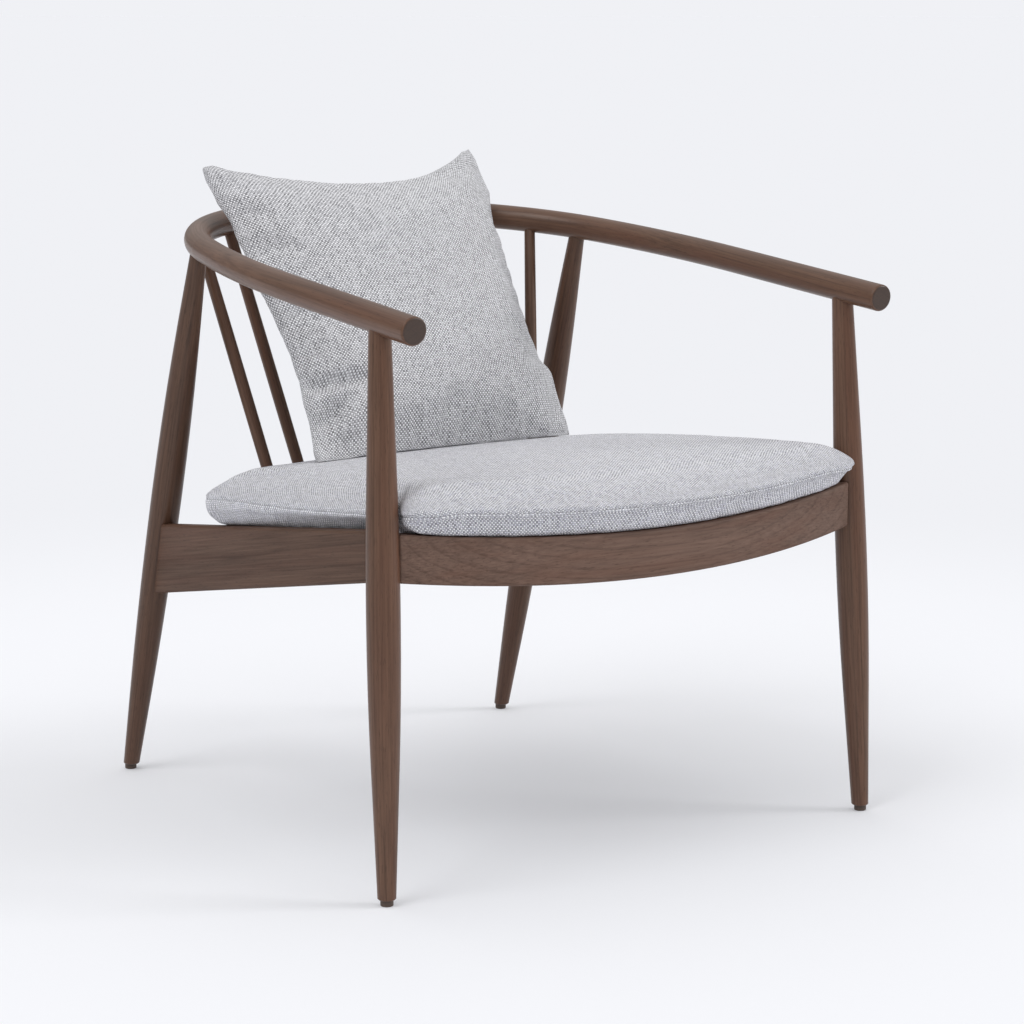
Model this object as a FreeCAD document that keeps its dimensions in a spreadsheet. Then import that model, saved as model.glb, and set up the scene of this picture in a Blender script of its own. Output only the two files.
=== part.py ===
import FreeCAD, Part
import math
import os
import Sketcher
from FreeCAD import Placement, Rotation, Vector

# Horseshoe back armchair, in millimetres.
# The origin is on the floor under the middle of the chair. +Z is up and the front faces -Y.
# The frame is drawn from the line of the front feet, and origin_back moves it over the origin.

SIZES = [
    # bow: a round rod in a plane that rises to the back, made of tangent arcs and two straight arms
    ("bow_radius", 16.0, "radius of the rod"),
    ("bow_height", 704.4, "height of the centre line there"),
    ("bow_tilt", 5.75, "degrees that the bow's plane rises to the back"),
    ("bow_back_radius", 321.2, "radius of the back arc"),
    ("bow_back_turn", 16.4, "heading in degrees where the back arc ends"),
    ("bow_corner_radius", 296.0, "radius of the corner arcs"),
    ("bow_corner_turn", 75.4, "heading where the corner arc ends"),
    ("bow_cheek_radius", 1014.0, "radius of the long arcs behind the arms"),
    ("bow_arm_turn", 89.4, "heading of the straight arms"),
    ("bow_arm_length", 263.8, "straight length of an arm"),
    ("bow_end_round", 3.5, "rounding of the sawn ends"),
    # legs: turned, thickest a little over halfway, straight towards both ends
    ("front_leg_setback", 69.6, "front leg's socket from the end of the arm"),
    ("front_leg_splay", 16.6, "front foot outside its socket in the bow"),
    ("front_leg_rake", 34.1, "front foot in front of its socket"),
    ("front_foot_radius", 10.1, "radius at the floor"),
    ("front_belly_radius", 18.9, "largest radius"),
    ("front_neck_radius", 12.2, "radius at the bow"),
    ("rear_leg_splay", 8.2, "rear foot outside its socket in the bow"),
    ("rear_leg_rake", 187.0, "rear foot behind its socket"),
    ("rear_leg_turn", 68.9, "heading of the bow over the rear leg's socket"),
    ("rear_foot_radius", 9.8, "radius at the floor"),
    ("rear_belly_radius", 18.8, "largest radius"),
    ("rear_neck_radius", 9.6, "radius at the bow"),
    ("leg_tenon_radius", 7.0, "round tenon in the bow"),
    ("leg_tenon_past", 6.0, "tenon past the bow's centre line"),
    ("foot_chamfer", 1.2, "bevel around the sawn foot"),
    # glides
    ("glide_height", 7.0, "glide below the sawn foot"),
    ("glide_radius", 7.3, "glide's head"),
    ("glide_round", 1.2, "rounding of its lower edge"),
    ("glide_stem_radius", 2.5, "stem pressed up into the foot"),
    ("glide_stem_length", 14.0, "length of the stem"),
    # seat frame
    ("rail_front_top", 409.9, "top of the side rail at the front leg"),
    ("rail_rear_top", 334.6, "top of the side rail at the rear leg"),
    ("rail_front_bottom", 352.6, "underside at the front leg"),
    ("rail_rear_bottom", 243.2, "underside at the rear leg"),
    ("side_rail_thickness", 20.0, "thickness of the side rails"),
    ("rail_bite", 2.5, "depth that a rail's shoulder is scribed over the leg"),
    ("rail_round", 4.0, "rounding of the side rails' edges"),
    ("tenon_thickness", 9.0, "thickness of the rails' tenons"),
    ("tenon_shoulder", 8.0, "shoulder above and below a tenon"),
    ("side_tenon_clear", 1.0, "side tenon's end short of the leg's axis"),
    ("front_tenon_clear", 6.5, "front tenon's end short of the leg's axis, beside the side tenon"),
    ("front_rail_bow", 1023.0, "radius of the front rail's outer face"),
    ("front_rail_setback", 3.7, "its centre line behind the axes of the front legs"),
    ("front_rail_thickness", 24.0, "thickness of the front rail"),
    ("front_rail_dip", 20.3, "its top in the middle below the side rails' tops at the front"),
    ("front_rail_height", 53.8, "height of the front rail"),
    ("front_rail_sweep", 2857.0, "radius of its dip, seen from the front"),
    ("front_rail_round", 3.0, "rounding of its edges"),
    ("rear_rail_bow", 300.0, "radius of the rear rail's centre line"),
    ("rear_rail_ahead", 367.4, "centre of that arc in front of the rear legs' axes"),
    ("rear_rail_turn", 41.5, "degrees of the arc on each side of the middle"),
    ("rear_rail_thickness", 28.0, "thickness of the rear rail"),
    ("rear_rail_height", 45.0, "height of the rear rail"),
    ("rear_rail_round", 3.0, "rounding of its edges"),
    ("rear_rail_drop", 4.5, "its top below the plane of the side rails' tops"),
    ("rear_tenon_thickness", 12.0, "thickness of its tenons"),
    ("rear_tenon_length", 14.0, "tenon inside a side rail"),
    # spindles
    ("spindle_neck_radius", 6.9, "radius at the bow"),
    ("spindle_belly_radius", 7.6, "largest radius"),
    ("spindle_foot_radius", 6.9, "radius at the rear rail"),
    ("spindle_tenon_radius", 5.0, "round tenons at both ends"),
    ("spindle_tenon_depth", 24.0, "lower tenon in the rear rail"),
    ("spindle_tenon_past", 5.0, "upper tenon past the bow's centre line"),
    ("spindle_pitch", 15.7, "degrees between the spindles' feet around the rear rail"),
    ("spindle_outer_turn", 55.0, "heading of the bow over the outer spindles"),
    ("spindle_middle_turn", 31.8, "heading over the middle spindles"),
    ("spindle_inner_turn", 10.5, "heading over the inner spindles"),
    # webbing
    ("strap_width", 50.0, "width of a strap"),
    ("strap_front_gap", 79.5, "middle of the first strap behind the front legs' axes"),
    ("strap_rear_gap", 38.0, "middle of the last strap in front of the rear rail's ends"),
    ("strap_thickness", 2.2, "thickness of a strap"),
    ("strap_room", 0.4, "slot's height above the strap"),
    ("strap_drop", 5.5, "top of the strap below the rails' tops"),
    ("strap_grip", 7.0, "strap's end inside its slot"),
    # seat cushion
    ("cushion_leg_clear", 1.2, "gap around the front legs"),
    ("cushion_leg_wrap", 6.3, "how far the sides come out past the front legs' inner faces, around them"),
    ("cushion_overhang", 13.2, "front seam in front of the front rail"),
    ("cushion_front_bow", 1085.0, "radius of the front seam in plan"),
    ("cushion_rear_gap", 41.0, "back seam in front of the rear rail"),
    ("cushion_back_bow", 1100.0, "radius of the back seam in plan"),
    ("cushion_front_corner", 12.0, "cut of the front corners in plan"),
    ("cushion_rear_corner", 24.0, "cut of the rear corners in plan"),
    ("cushion_front_thickness", 51.0, "thickness near the front"),
    ("cushion_rear_thickness", 71.0, "thickness near the back"),
    ("cushion_seam_front", 21.0, "seam above the rails at the front"),
    ("cushion_seam_rear", 34.0, "seam above the rails at the back"),
    ("cushion_crown", 3.0, "rise of the middle of the top"),
    ("cushion_belly", 5.6, "fall of the middle of the underside towards the webbing"),
    ("cushion_knee", 70.0, "length behind the front legs' axes where the underside dips to the front rail"),
    ("cushion_shoulder", 40.0, "width of the rounded border of the top"),
    ("cushion_tuck", 22.0, "width of the drawn-in border of the underside"),
    ("cushion_clear", 0.5, "gap between cushion and rails"),
    # back cushion, a square pillow that leans back on the bow
    ("pillow_width", 400.0, "width between the side seams at mid height"),
    ("pillow_height", 418.0, "height between the lower and upper seams"),
    ("pillow_ear", 16.0, "each corner beyond the drawn-in side"),
    ("pillow_skew", 31.0, "upper seam to the right of the lower one, as it has slumped"),
    ("pillow_depth", 112.0, "largest thickness"),
    ("pillow_seam", 6.0, "thickness of the flattened seams"),
    ("pillow_ahead", 114.0, "lower seam in front of the seat cushion's back"),
    ("pillow_side", -11.0, "middle of the lower seam from the chair's middle"),
    ("pillow_rest", 4.45, "middle of the lower seam above the seat cushion"),
    ("pillow_bow_gap", 17.0, "side seams in front of the bow"),
    ("pillow_turn", 7.5, "degrees that it is turned about the vertical"),
    ("overrun", 5.0, "how far a cutting shape runs past what it cuts"),
]

doc = FreeCAD.newDocument("horseshoe_back_armchair")
sheet = doc.addObject("Spreadsheet::Sheet", "Sizes")


class Size:
    """A value worked out from the sheet: the number, and the expression that keeps it driven."""

    def __init__(self, value, text):
        self.value = value
        self.text = text

    @staticmethod
    def of(other):
        return other if isinstance(other, Size) else Size(float(other), repr(float(other)))

    def join(self, other, sign, value):
        return Size(value, "(%s %s %s)" % (self.text, sign, other.text))

    def __add__(self, other):
        other = Size.of(other)
        return self.join(other, "+", self.value + other.value)

    def __sub__(self, other):
        other = Size.of(other)
        return self.join(other, "-", self.value - other.value)

    def __mul__(self, other):
        other = Size.of(other)
        return self.join(other, "*", self.value * other.value)

    def __truediv__(self, other):
        other = Size.of(other)
        return self.join(other, "/", self.value / other.value)

    def __radd__(self, other):
        return Size.of(other) + self

    def __rsub__(self, other):
        return Size.of(other) - self

    def __rmul__(self, other):
        return Size.of(other) * self

    def __neg__(self):
        return Size(-self.value, "(-%s)" % self.text)


def sine(angle):
    return Size(math.sin(math.radians(angle.value)), "sin(%s)" % angle.text)


def cosine(angle):
    return Size(math.cos(math.radians(angle.value)), "cos(%s)" % angle.text)


def root(square):
    return Size(math.sqrt(square.value), "sqrt(%s)" % square.text)


D = {}
for row, (alias, value, note) in enumerate(SIZES, start=1):
    sheet.set("A%d" % row, alias)
    sheet.set("B%d" % row, str(value))
    sheet.set("C%d" % row, note)
    sheet.setAlias("B%d" % row, alias)
    D[alias] = Size(value, "Sizes." + alias)
doc.recompute()

ZERO = Size(0.0, "0")


# Sketching

def plane_of(body, role):
    return next(item for item in body.Origin.OriginFeatures if item.Role == role)


def new_body(name):
    return doc.addObject("PartDesign::Body", name)


def fix_point(sketch, geo, end, point):
    """Dimensions a point of the sketch from its origin, along both axes."""
    for kind, size in zip(("DistanceX", "DistanceY"), point):
        index = sketch.addConstraint(Sketcher.Constraint(kind, -1, 1, geo, end, size.value))
        sketch.setExpression("Constraints[%d]" % index, size.text)


def draw(body, name, role, start, steps, closed=True):
    """A sketch of lines and three-point arcs. A step is (end,) for a line or (middle, end) for an arc."""
    sketch = body.newObject("Sketcher::SketchObject", name)
    sketch.AttachmentSupport = (plane_of(body, role), [""])
    sketch.MapMode = "FlatFace"
    here = start
    ends = []
    for step in steps:
        a, b = (Vector(p[0].value, p[1].value, 0) for p in (here, step[-1]))
        if len(step) == 1:
            geo = sketch.addGeometry(Part.LineSegment(a, b), False)
            ends.append((geo, 1, 2))
        else:
            middle = Vector(step[0][0].value, step[0][1].value, 0)
            left_turn = (middle - a).cross(b - middle).z > 0
            arc = Part.Arc(a, middle, b) if left_turn else Part.Arc(b, middle, a)
            geo = sketch.addGeometry(arc, False)
            ends.append((geo, 1, 2) if left_turn else (geo, 2, 1))
            mark = sketch.addGeometry(Part.Point(middle), True)
            sketch.addConstraint(Sketcher.Constraint("PointOnObject", mark, 1, geo))
            fix_point(sketch, mark, 1, step[0])
        here = step[-1]
    for (geo, _, end), (following, begin, _) in zip(ends, ends[1:]):
        sketch.addConstraint(Sketcher.Constraint("Coincident", geo, end, following, begin))
    if closed:
        sketch.addConstraint(Sketcher.Constraint("Coincident", ends[-1][0], ends[-1][2], ends[0][0],
                                                 ends[0][1]))
    points = [start] + [step[-1] for step in steps]
    for (geo, begin, _), point in zip(ends, points):
        fix_point(sketch, geo, begin, point)
    if not closed:
        fix_point(sketch, ends[-1][0], ends[-1][2], points[-1])
    return sketch


def revolve(body, name, sketch):
    """Turns a sketch on the XZ plane around its upright axis."""
    turned = body.newObject("PartDesign::Revolution", name)
    turned.Profile = sketch
    turned.ReferenceAxis = (sketch, ["V_Axis"])
    turned.Angle = 360
    body.Tip = turned
    return turned


def pad(body, name, sketch, thickness):
    """Thickens a sketch equally to both sides."""
    grown = body.newObject("PartDesign::Pad", name)
    grown.Profile = sketch
    if hasattr(grown, "SideType"):
        grown.SideType = "Symmetric"
    else:
        grown.Midplane = True
    grown.Length = thickness.value
    grown.setExpression("Length", thickness.text)
    body.Tip = grown
    return grown


def round_all(body, name, base, radius):
    """Rounds every edge of a feature."""
    rounding = body.newObject("PartDesign::Fillet", name)
    rounding.Base = (base, [""])
    rounding.UseAllEdges = True
    rounding.Radius = radius.value
    rounding.setExpression("Radius", radius.text)
    body.Tip = rounding
    return rounding


# Solids from solids

def cut(name, base, *tools):
    result = doc.addObject("Part::Cut", name)
    result.Base = base
    result.Tool = tools[0] if len(tools) == 1 else group(name + "_tools", *tools)
    return result


def group(name, *items):
    result = doc.addObject("Part::Compound", name)
    result.Links = list(items)
    return result


def fuse(name, *items):
    result = doc.addObject("Part::MultiFuse", name)
    result.Shapes = list(items)
    return result


def common(name, *items):
    result = doc.addObject("Part::MultiCommon", name)
    result.Shapes = list(items)
    return result


def mirror(name, source):
    """The piece of the other side of the chair."""
    result = doc.addObject("Part::Mirroring", name)
    result.Source = source
    result.Base = Vector(0, 0, 0)
    result.Normal = Vector(1, 0, 0)
    return result


def along(start, end):
    """A placement at start whose Z axis points to end."""
    direction = vector(end) - vector(start)
    return Placement(vector(start), Rotation(Vector(0, 0, 1), direction))


def vector(point):
    return Vector(*[size.value for size in point])


def spread(a, b):
    """Distance between two points."""
    return root(sum(((q - p) * (q - p) for p, q in zip(a, b)), ZERO))


def between(a, b, share):
    return [p + (q - p) * share for p, q in zip(a, b)]


def depth(size):
    """A distance behind the line of the front feet, as a Y coordinate."""
    return size - origin_back()


# The bow's centre line

def bow_flat(turn):
    """Point of the centre line where its heading is turn degrees: sideways, and forward from the back."""
    first, second = D["bow_back_turn"], D["bow_corner_turn"]
    side, ahead = ZERO, ZERO
    before = Size(0.0, "0")
    for radius, limit in (("bow_back_radius", first), ("bow_corner_radius", second),
                          ("bow_cheek_radius", D["bow_arm_turn"])):
        stop = turn if turn.value < limit.value else limit
        side = side + D[radius] * (sine(stop) - sine(before))
        ahead = ahead + D[radius] * (cosine(before) - cosine(stop))
        if turn.value <= limit.value:
            break
        before = limit
    return side, ahead


def arm_flat(setback):
    """Point on the straight arm, setback from its end."""
    side, ahead = bow_flat(D["bow_arm_turn"])
    run = D["bow_arm_length"] - setback
    return side + run * cosine(D["bow_arm_turn"]), ahead + run * sine(D["bow_arm_turn"])


def origin_back():
    """The origin lies in the middle between the back of the bow and the front of the seat cushion."""
    flat = arm_flat(D["front_leg_setback"])
    foot_side = flat[0] + D["front_leg_splay"]
    share = (D["rail_front_top"] + D["rail_front_bottom"]) / 2.0 / (D["bow_height"] - flat[1] *
            sine(D["bow_tilt"]))
    axis_side, axis_back = foot_side - D["front_leg_splay"] * share, D["front_leg_rake"] * share
    middle = D["front_rail_bow"] - D["front_rail_thickness"] / 2.0
    apex = axis_back + root(middle * middle - axis_side *
                            axis_side) + D["front_rail_setback"] - D["front_rail_bow"]
    return (bow_back() + D["bow_radius"] + apex - D["cushion_overhang"]) / 2.0


def bow_back():
    """Back of the rod's centre line behind the line of the front feet, which stand under the arms."""
    return D["front_leg_rake"] + arm_flat(D["front_leg_setback"])[1] * cosine(D["bow_tilt"])


def bow_place(flat):
    """The left-hand point in the chair's frame."""
    side, ahead = flat
    return [-side, depth(bow_back() - ahead * cosine(D["bow_tilt"])),
            D["bow_height"] - ahead * sine(D["bow_tilt"])]


def as_sketch(flat, side):
    """In the bow's own plane: X across the chair, Y towards the back."""
    return (flat[0] * float(side), -flat[1])


def bow_blank():
    """The rod: a round section swept along arcs and straight arms."""
    body = new_body("bow_blank")
    back, corner, arm = D["bow_back_turn"], D["bow_corner_turn"], D["bow_arm_turn"]
    flats = [arm_flat(ZERO), bow_flat(arm), bow_flat((corner + arm) / 2.0), bow_flat(corner),
             bow_flat((back + corner) / 2.0), bow_flat(back)]
    left = [as_sketch(flat, -1) for flat in flats]
    right = [as_sketch(flat, 1) for flat in flats]
    middle = (ZERO, ZERO)
    steps = [(left[1],), (left[2], left[3]), (left[4], left[5]), (middle, right[5]),
             (right[4], right[3]), (right[2], right[1]), (right[0],)]
    path = draw(body, "bow_path", "XY_Plane", left[0], steps, closed=False)
    ring = body.newObject("Sketcher::SketchObject", "bow_section")
    ring.AttachmentSupport = (path, ["Edge1"])
    ring.MapMode = "NormalToEdge"
    ring.MapPathParameter = 0.0
    doc.recompute()
    circle = ring.addGeometry(Part.Circle(Vector(0, 0, 0), Vector(0, 0, 1), D["bow_radius"].value), False)
    ring.addConstraint(Sketcher.Constraint("Coincident", circle, 3, -1, 1))
    index = ring.addConstraint(Sketcher.Constraint("Radius", circle, D["bow_radius"].value))
    ring.setExpression("Constraints[%d]" % index, D["bow_radius"].text)
    doc.recompute()
    rod = body.newObject("PartDesign::AdditivePipe", "bow_rod")
    rod.Profile = ring
    rod.Spine = path
    body.Tip = rod
    doc.recompute()
    rims = ["Edge%d" % (number + 1) for number, edge in enumerate(rod.Shape.Edges)
            if isinstance(edge.Curve, Part.Circle) and len(rod.Shape.ancestorsOfType(edge, Part.Face)) == 2
            and any(isinstance(face.Surface, Part.Plane) for face in rod.Shape.ancestorsOfType(edge,
                    Part.Face))]
    rounding = body.newObject("PartDesign::Fillet", "bow_end_rounding")
    rounding.Base = (rod, rims)
    rounding.Radius = D["bow_end_round"].value
    rounding.setExpression("Radius", D["bow_end_round"].text)
    body.Tip = rounding
    body.Placement = Placement(Vector(0, depth(bow_back()).value, D["bow_height"].value),
                               Rotation(Vector(1, 0, 0), D["bow_tilt"].value))
    return body


def socket(name, start, end, radius, back, past):
    """A round tenon along the line from start to end, from back before the end to past it."""
    rod = doc.addObject("Part::Cylinder", name)
    rod.setExpression("Radius", radius.text)
    rod.setExpression("Height", (back + past).text)
    place = along(start, end)
    rod.Placement = place.multiply(Placement(Vector(0, 0, (spread(start, end) - back).value), Rotation()))
    return rod


# Legs

BELLY_SHARE = {"front": 0.493, "rear": 0.549}
LOWER_STRAIGHT_SHARE = {"front": 0.49, "rear": 0.26}
UPPER_STRAIGHT_SHARE = {"front": 0.55, "rear": 0.30}


def turned_curve(radius_end, radius_belly, z_end, z_belly, straight_share):
    """Points of one half of a turned leg: end, end of the straight taper, middle of the arc, belly."""
    length = z_belly - z_end
    run = length * straight_share
    rest = length - run
    fall = radius_belly - radius_end
    slope = fall / (run + rest / 2.0)
    knee = (radius_end + slope * run, z_end + run)
    halfway = (radius_belly - slope * rest / 8.0, z_belly - rest / 2.0)
    return knee, halfway, (radius_belly, z_belly)


def turned_leg(kind, foot, top):
    """A leg on the lathe, from below the floor to its tenon's end."""
    body = new_body(kind + "_leg_turning")
    length = spread(foot, top)
    belly = length * BELLY_SHARE[kind]
    foot_radius, belly_radius, neck_radius = (D["%s_%s_radius" % (kind, part)] for part in ("foot",
            "belly", "neck"))
    low_knee, low_half, middle = turned_curve(foot_radius, belly_radius, ZERO, belly,
                                              LOWER_STRAIGHT_SHARE[kind])
    high_knee, high_half, _ = turned_curve(neck_radius, belly_radius, length, belly,
                                           UPPER_STRAIGHT_SHARE[kind])
    tenon, tip = D["leg_tenon_radius"], length + D["leg_tenon_past"]
    below = -(D["overrun"] * 2.0)
    steps = [((foot_radius, below),), ((foot_radius, ZERO),), (low_knee,), (low_half, middle),
             (high_half, high_knee), ((neck_radius, length),), ((tenon, length),), ((tenon, tip),),
             ((ZERO, tip),), ((ZERO, below),)]
    sketch = draw(body, kind + "_leg_profile", "XZ_Plane", (ZERO, below), steps)
    revolve(body, kind + "_leg_turned", sketch)
    body.Placement = along(foot, top)
    return body


def floor_cutter(kind, foot):
    """A block under the sawn end of a foot."""
    side = D["front_belly_radius"] * 4.0
    block = doc.addObject("Part::Box", kind + "_foot_saw")
    block.setExpression("Length", side.text)
    block.setExpression("Width", side.text)
    block.setExpression("Height", side.text)
    block.Placement = Placement(vector(foot) + Vector(-side.value / 2, -side.value / 2,
                                                      D["glide_height"].value - side.value), Rotation())
    return block


def bevel_foot(name, leg):
    """Bevels the rim of the sawn foot."""
    doc.recompute()
    level = D["glide_height"].value
    reach = D["rear_belly_radius"].value
    stem = D["glide_stem_radius"].value
    rims = []
    for number, edge in enumerate(leg.Shape.Edges, start=1):
        box = edge.BoundBox
        flat = abs(box.ZMax - level) < 1e-6 and abs(box.ZMin - level) < 1e-6
        if flat and stem * 3 < box.XLength < reach * 2:
            rims.append((number, D["foot_chamfer"].value, D["foot_chamfer"].value))
    bevel = doc.addObject("Part::Chamfer", name)
    bevel.Base = leg
    bevel.Edges = rims
    return bevel


def leg_at(foot, top, height):
    """Point of a leg's axis at a height."""
    share = height / top[2]
    return [p + (q - p) * share for p, q in zip(foot, top)]


# Glides

def glide(name, foot):
    """A plain foot glide with a stem, standing upright under a leg."""
    body = new_body(name)
    head, rim, stem = D["glide_radius"], D["glide_round"], D["glide_stem_radius"]
    seat = D["glide_height"]
    tip = seat + D["glide_stem_length"]
    diagonal = rim * (1.0 - math.sqrt(0.5))
    steps = [((head - rim, ZERO),), ((head - diagonal, diagonal), (head, rim)), ((head, seat),),
             ((stem, seat),), ((stem, tip),), ((ZERO, tip),), ((ZERO, ZERO),)]
    sketch = draw(body, name + "_profile", "XZ_Plane", (ZERO, ZERO), steps)
    revolve(body, name + "_turned", sketch)
    body.Placement = Placement(vector(foot), Rotation())
    return body


# Seat frame

def rail_fall():
    """Fall of the side rails' tops for each unit of distance to the back."""
    return (D["rail_front_top"] - D["rail_rear_top"]) / (REAR_AXIS[1] - FRONT_AXIS[1])


def rail_top_at(along_y):
    """Height of the side rails' tops at a Y coordinate."""
    return D["rail_front_top"] - rail_fall() * (along_y - FRONT_AXIS[1])


def rear_rail_centre():
    """Y coordinate of the centre of the rear rail's arc."""
    return REAR_AXIS[1] - D["rear_rail_ahead"]


def rear_rail_ends():
    """Y coordinate where the rear rail's arms reach the side rails."""
    turn, radius = D["rear_rail_turn"], D["rear_rail_bow"]
    side = -(FRONT_AXIS[0] + REAR_AXIS[0] * 2.0) / 3.0
    return rear_rail_centre() + cosine(turn) * radius - (side - sine(turn) *
                                                         radius) * sine(turn) / cosine(turn)


def rail_frame():
    """Plan direction of the left side rail, and its placement with X along it and Y up."""
    dx = (REAR_AXIS[0] - FRONT_AXIS[0])
    dy = (REAR_AXIS[1] - FRONT_AXIS[1])
    length = root(dx * dx + dy * dy)
    heading = Vector(dx.value, dy.value, 0).normalize()
    upright = Vector(0, 0, 1)
    across = heading.cross(upright)
    turn = FreeCAD.Matrix(heading.x, upright.x, across.x, 0, heading.y, upright.y, across.y, 0,
                          heading.z, upright.z, across.z, 0, 0, 0, 0, 1)
    return length, Placement(Vector(FRONT_AXIS[0].value, FRONT_AXIS[1].value, 0), Rotation(turn))


def side_rail_bar(name, end_offset, shoulder, thickness, rounded):
    """A tapered bar between the front and rear leg's axes, its ends sloped as the legs are."""
    length, place = rail_frame()
    front_lean = (FRONT_TOP[1] - FRONT_FOOT[1]) / FRONT_TOP[2]
    rear_lean = (REAR_TOP[1] - REAR_FOOT[1]) / REAR_TOP[2]
    heights = [D["rail_front_bottom"] + shoulder, D["rail_rear_bottom"] + shoulder,
               D["rail_rear_top"] - shoulder, D["rail_front_top"] - shoulder]
    front_middle = (D["rail_front_bottom"] + D["rail_front_top"]) / 2.0
    rear_middle = (D["rail_rear_bottom"] + D["rail_rear_top"]) / 2.0
    corners = []
    for number, height in enumerate(heights):
        at_front = number in (0, 3)
        if at_front:
            run = end_offset + front_lean * (height - front_middle)
        else:
            run = length - end_offset + rear_lean * (height - rear_middle)
        corners.append((run, height))
    body = new_body(name)
    sketch = draw(body, name + "_profile", "XY_Plane", corners[0],
                  [(corner,) for corner in corners[1:] + corners[:1]])
    bar = pad(body, name + "_pad", sketch, thickness)
    if rounded:
        round_all(body, name + "_rounding", bar, D["rail_round"])
    body.Placement = place
    return body


def front_rail_centre():
    """Centre of the front rail's arcs behind the front legs' axes: its middle line runs to the legs."""
    middle = D["front_rail_bow"] - D["front_rail_thickness"] / 2.0
    return root(middle * middle - FRONT_AXIS[0] * FRONT_AXIS[0]) + D["front_rail_setback"]


def front_rail_apex():
    """Y coordinate of the front rail's outer face in the middle."""
    return FRONT_AXIS[1] + front_rail_centre() - D["front_rail_bow"]


def front_rail_band(name, outer, inner, end_clear):
    """The front rail in plan: a band between two arcs, cut square to them near the legs."""
    side, ahead = -FRONT_AXIS[0], front_rail_centre()
    reach = root(side * side + ahead * ahead)
    middle = (outer + inner) / 2.0
    # the direction to the leg, turned back by the clearance along the band
    sin_leg, cos_leg = side / reach, ahead / reach
    step = end_clear / middle
    sin_end = sin_leg - cos_leg * step
    cos_end = cos_leg + sin_leg * step
    norm = root(sin_end * sin_end + cos_end * cos_end)
    sin_end, cos_end = sin_end / norm, cos_end / norm
    base = FRONT_AXIS[1] + ahead

    def spot(radius, sign):
        return (sin_end * radius * float(sign), base - cos_end * radius)

    body = new_body(name)
    steps = [((ZERO, base - outer), spot(outer, 1)), (spot(inner, 1),), ((ZERO, base - inner),
            spot(inner, -1)),
             (spot(outer, -1),)]
    sketch = draw(body, name + "_plan", "XY_Plane", spot(outer, -1), steps)
    pad(body, name + "_pad", sketch, D["rail_front_top"] * 3.0)
    return body


def front_rail_sweep(name, shoulder):
    """The front rail from the front: a band that dips in the middle."""
    middle = D["rail_front_top"] - D["front_rail_dip"]
    top, bottom = middle - shoulder, middle - D["front_rail_height"] + shoulder
    half = -FRONT_AXIS[0] + D["front_belly_radius"]
    rise = D["front_rail_sweep"] - root(D["front_rail_sweep"] * D["front_rail_sweep"] - half * half)
    body = new_body(name)
    steps = [((ZERO, bottom), (half, bottom + rise)), ((half, top + rise),), ((ZERO, top), (-half,
            top + rise)),
             ((-half, bottom + rise),)]
    sketch = draw(body, name + "_elevation", "XZ_Plane", (-half, bottom + rise), steps)
    pad(body, name + "_pad", sketch, D["front_rail_bow"] * 2.0)
    return body


def rear_rail_band(name, thickness, height, end_side):
    """The rear rail in the plane of the rails' tops: an arc with tangent arms, below the plane."""
    turn = D["rear_rail_turn"]
    half = thickness / 2.0

    def arc_spot(radius, angle, sign):
        return (sine(angle) * radius * float(sign), cosine(angle) * radius)

    outer, inner = D["rear_rail_bow"] + half, D["rear_rail_bow"] - half
    slope = sine(turn) / cosine(turn)

    def arm_end(radius, sign):
        x, y = arc_spot(radius, turn, 1)
        return (end_side * float(sign), y - (end_side - x) * slope)

    body = new_body(name)
    steps = [(arc_spot(outer, turn, -1),), ((ZERO, outer), arc_spot(outer, turn, 1)), (arm_end(outer, 1),),
             (arm_end(inner, 1),), (arc_spot(inner, turn, 1),), ((ZERO, inner), arc_spot(inner, turn, -1)),
             (arm_end(inner, -1),), (arm_end(outer, -1),)]
    sketch = draw(body, name + "_plan", "XY_Plane", arm_end(outer, -1), steps)
    grown = pad(body, name + "_pad", sketch, height)
    return body, grown


def seat_tilt():
    """Degrees that the seat frame falls to the back."""
    fall = D["rail_front_top"].value - D["rail_rear_top"].value
    return math.degrees(math.atan2(fall, (REAR_AXIS[1] - FRONT_AXIS[1]).value))


def on_seat_plane(below):
    """Placement at the centre of the rear rail's arc, in the plane of the rails' tops, lowered."""
    spot = Vector(0, rear_rail_centre().value, rail_top_at(rear_rail_centre()).value)
    turn = Rotation(Vector(1, 0, 0), -seat_tilt())
    return Placement(spot, turn).multiply(Placement(Vector(0, 0, -below.value), Rotation()))


# Spindles

SPINDLE_BELLY_SHARE = 0.42
SPINDLE_TURNS = ("spindle_outer_turn", "spindle_middle_turn", "spindle_inner_turn")


def spindle_foot(step):
    """Foot of a spindle on the top of the rear rail, left side: step counts half pitches from the middle."""
    angle = math.radians(D["spindle_pitch"].value * step / 2.0)
    radius = D["rear_rail_bow"].value
    top = on_seat_plane(D["rear_rail_drop"])
    spot = top.multVec(Vector(-radius * math.sin(angle), radius * math.cos(angle), 0))
    return [Size(value, repr(value)) for value in (spot.x, spot.y, spot.z)]


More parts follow.
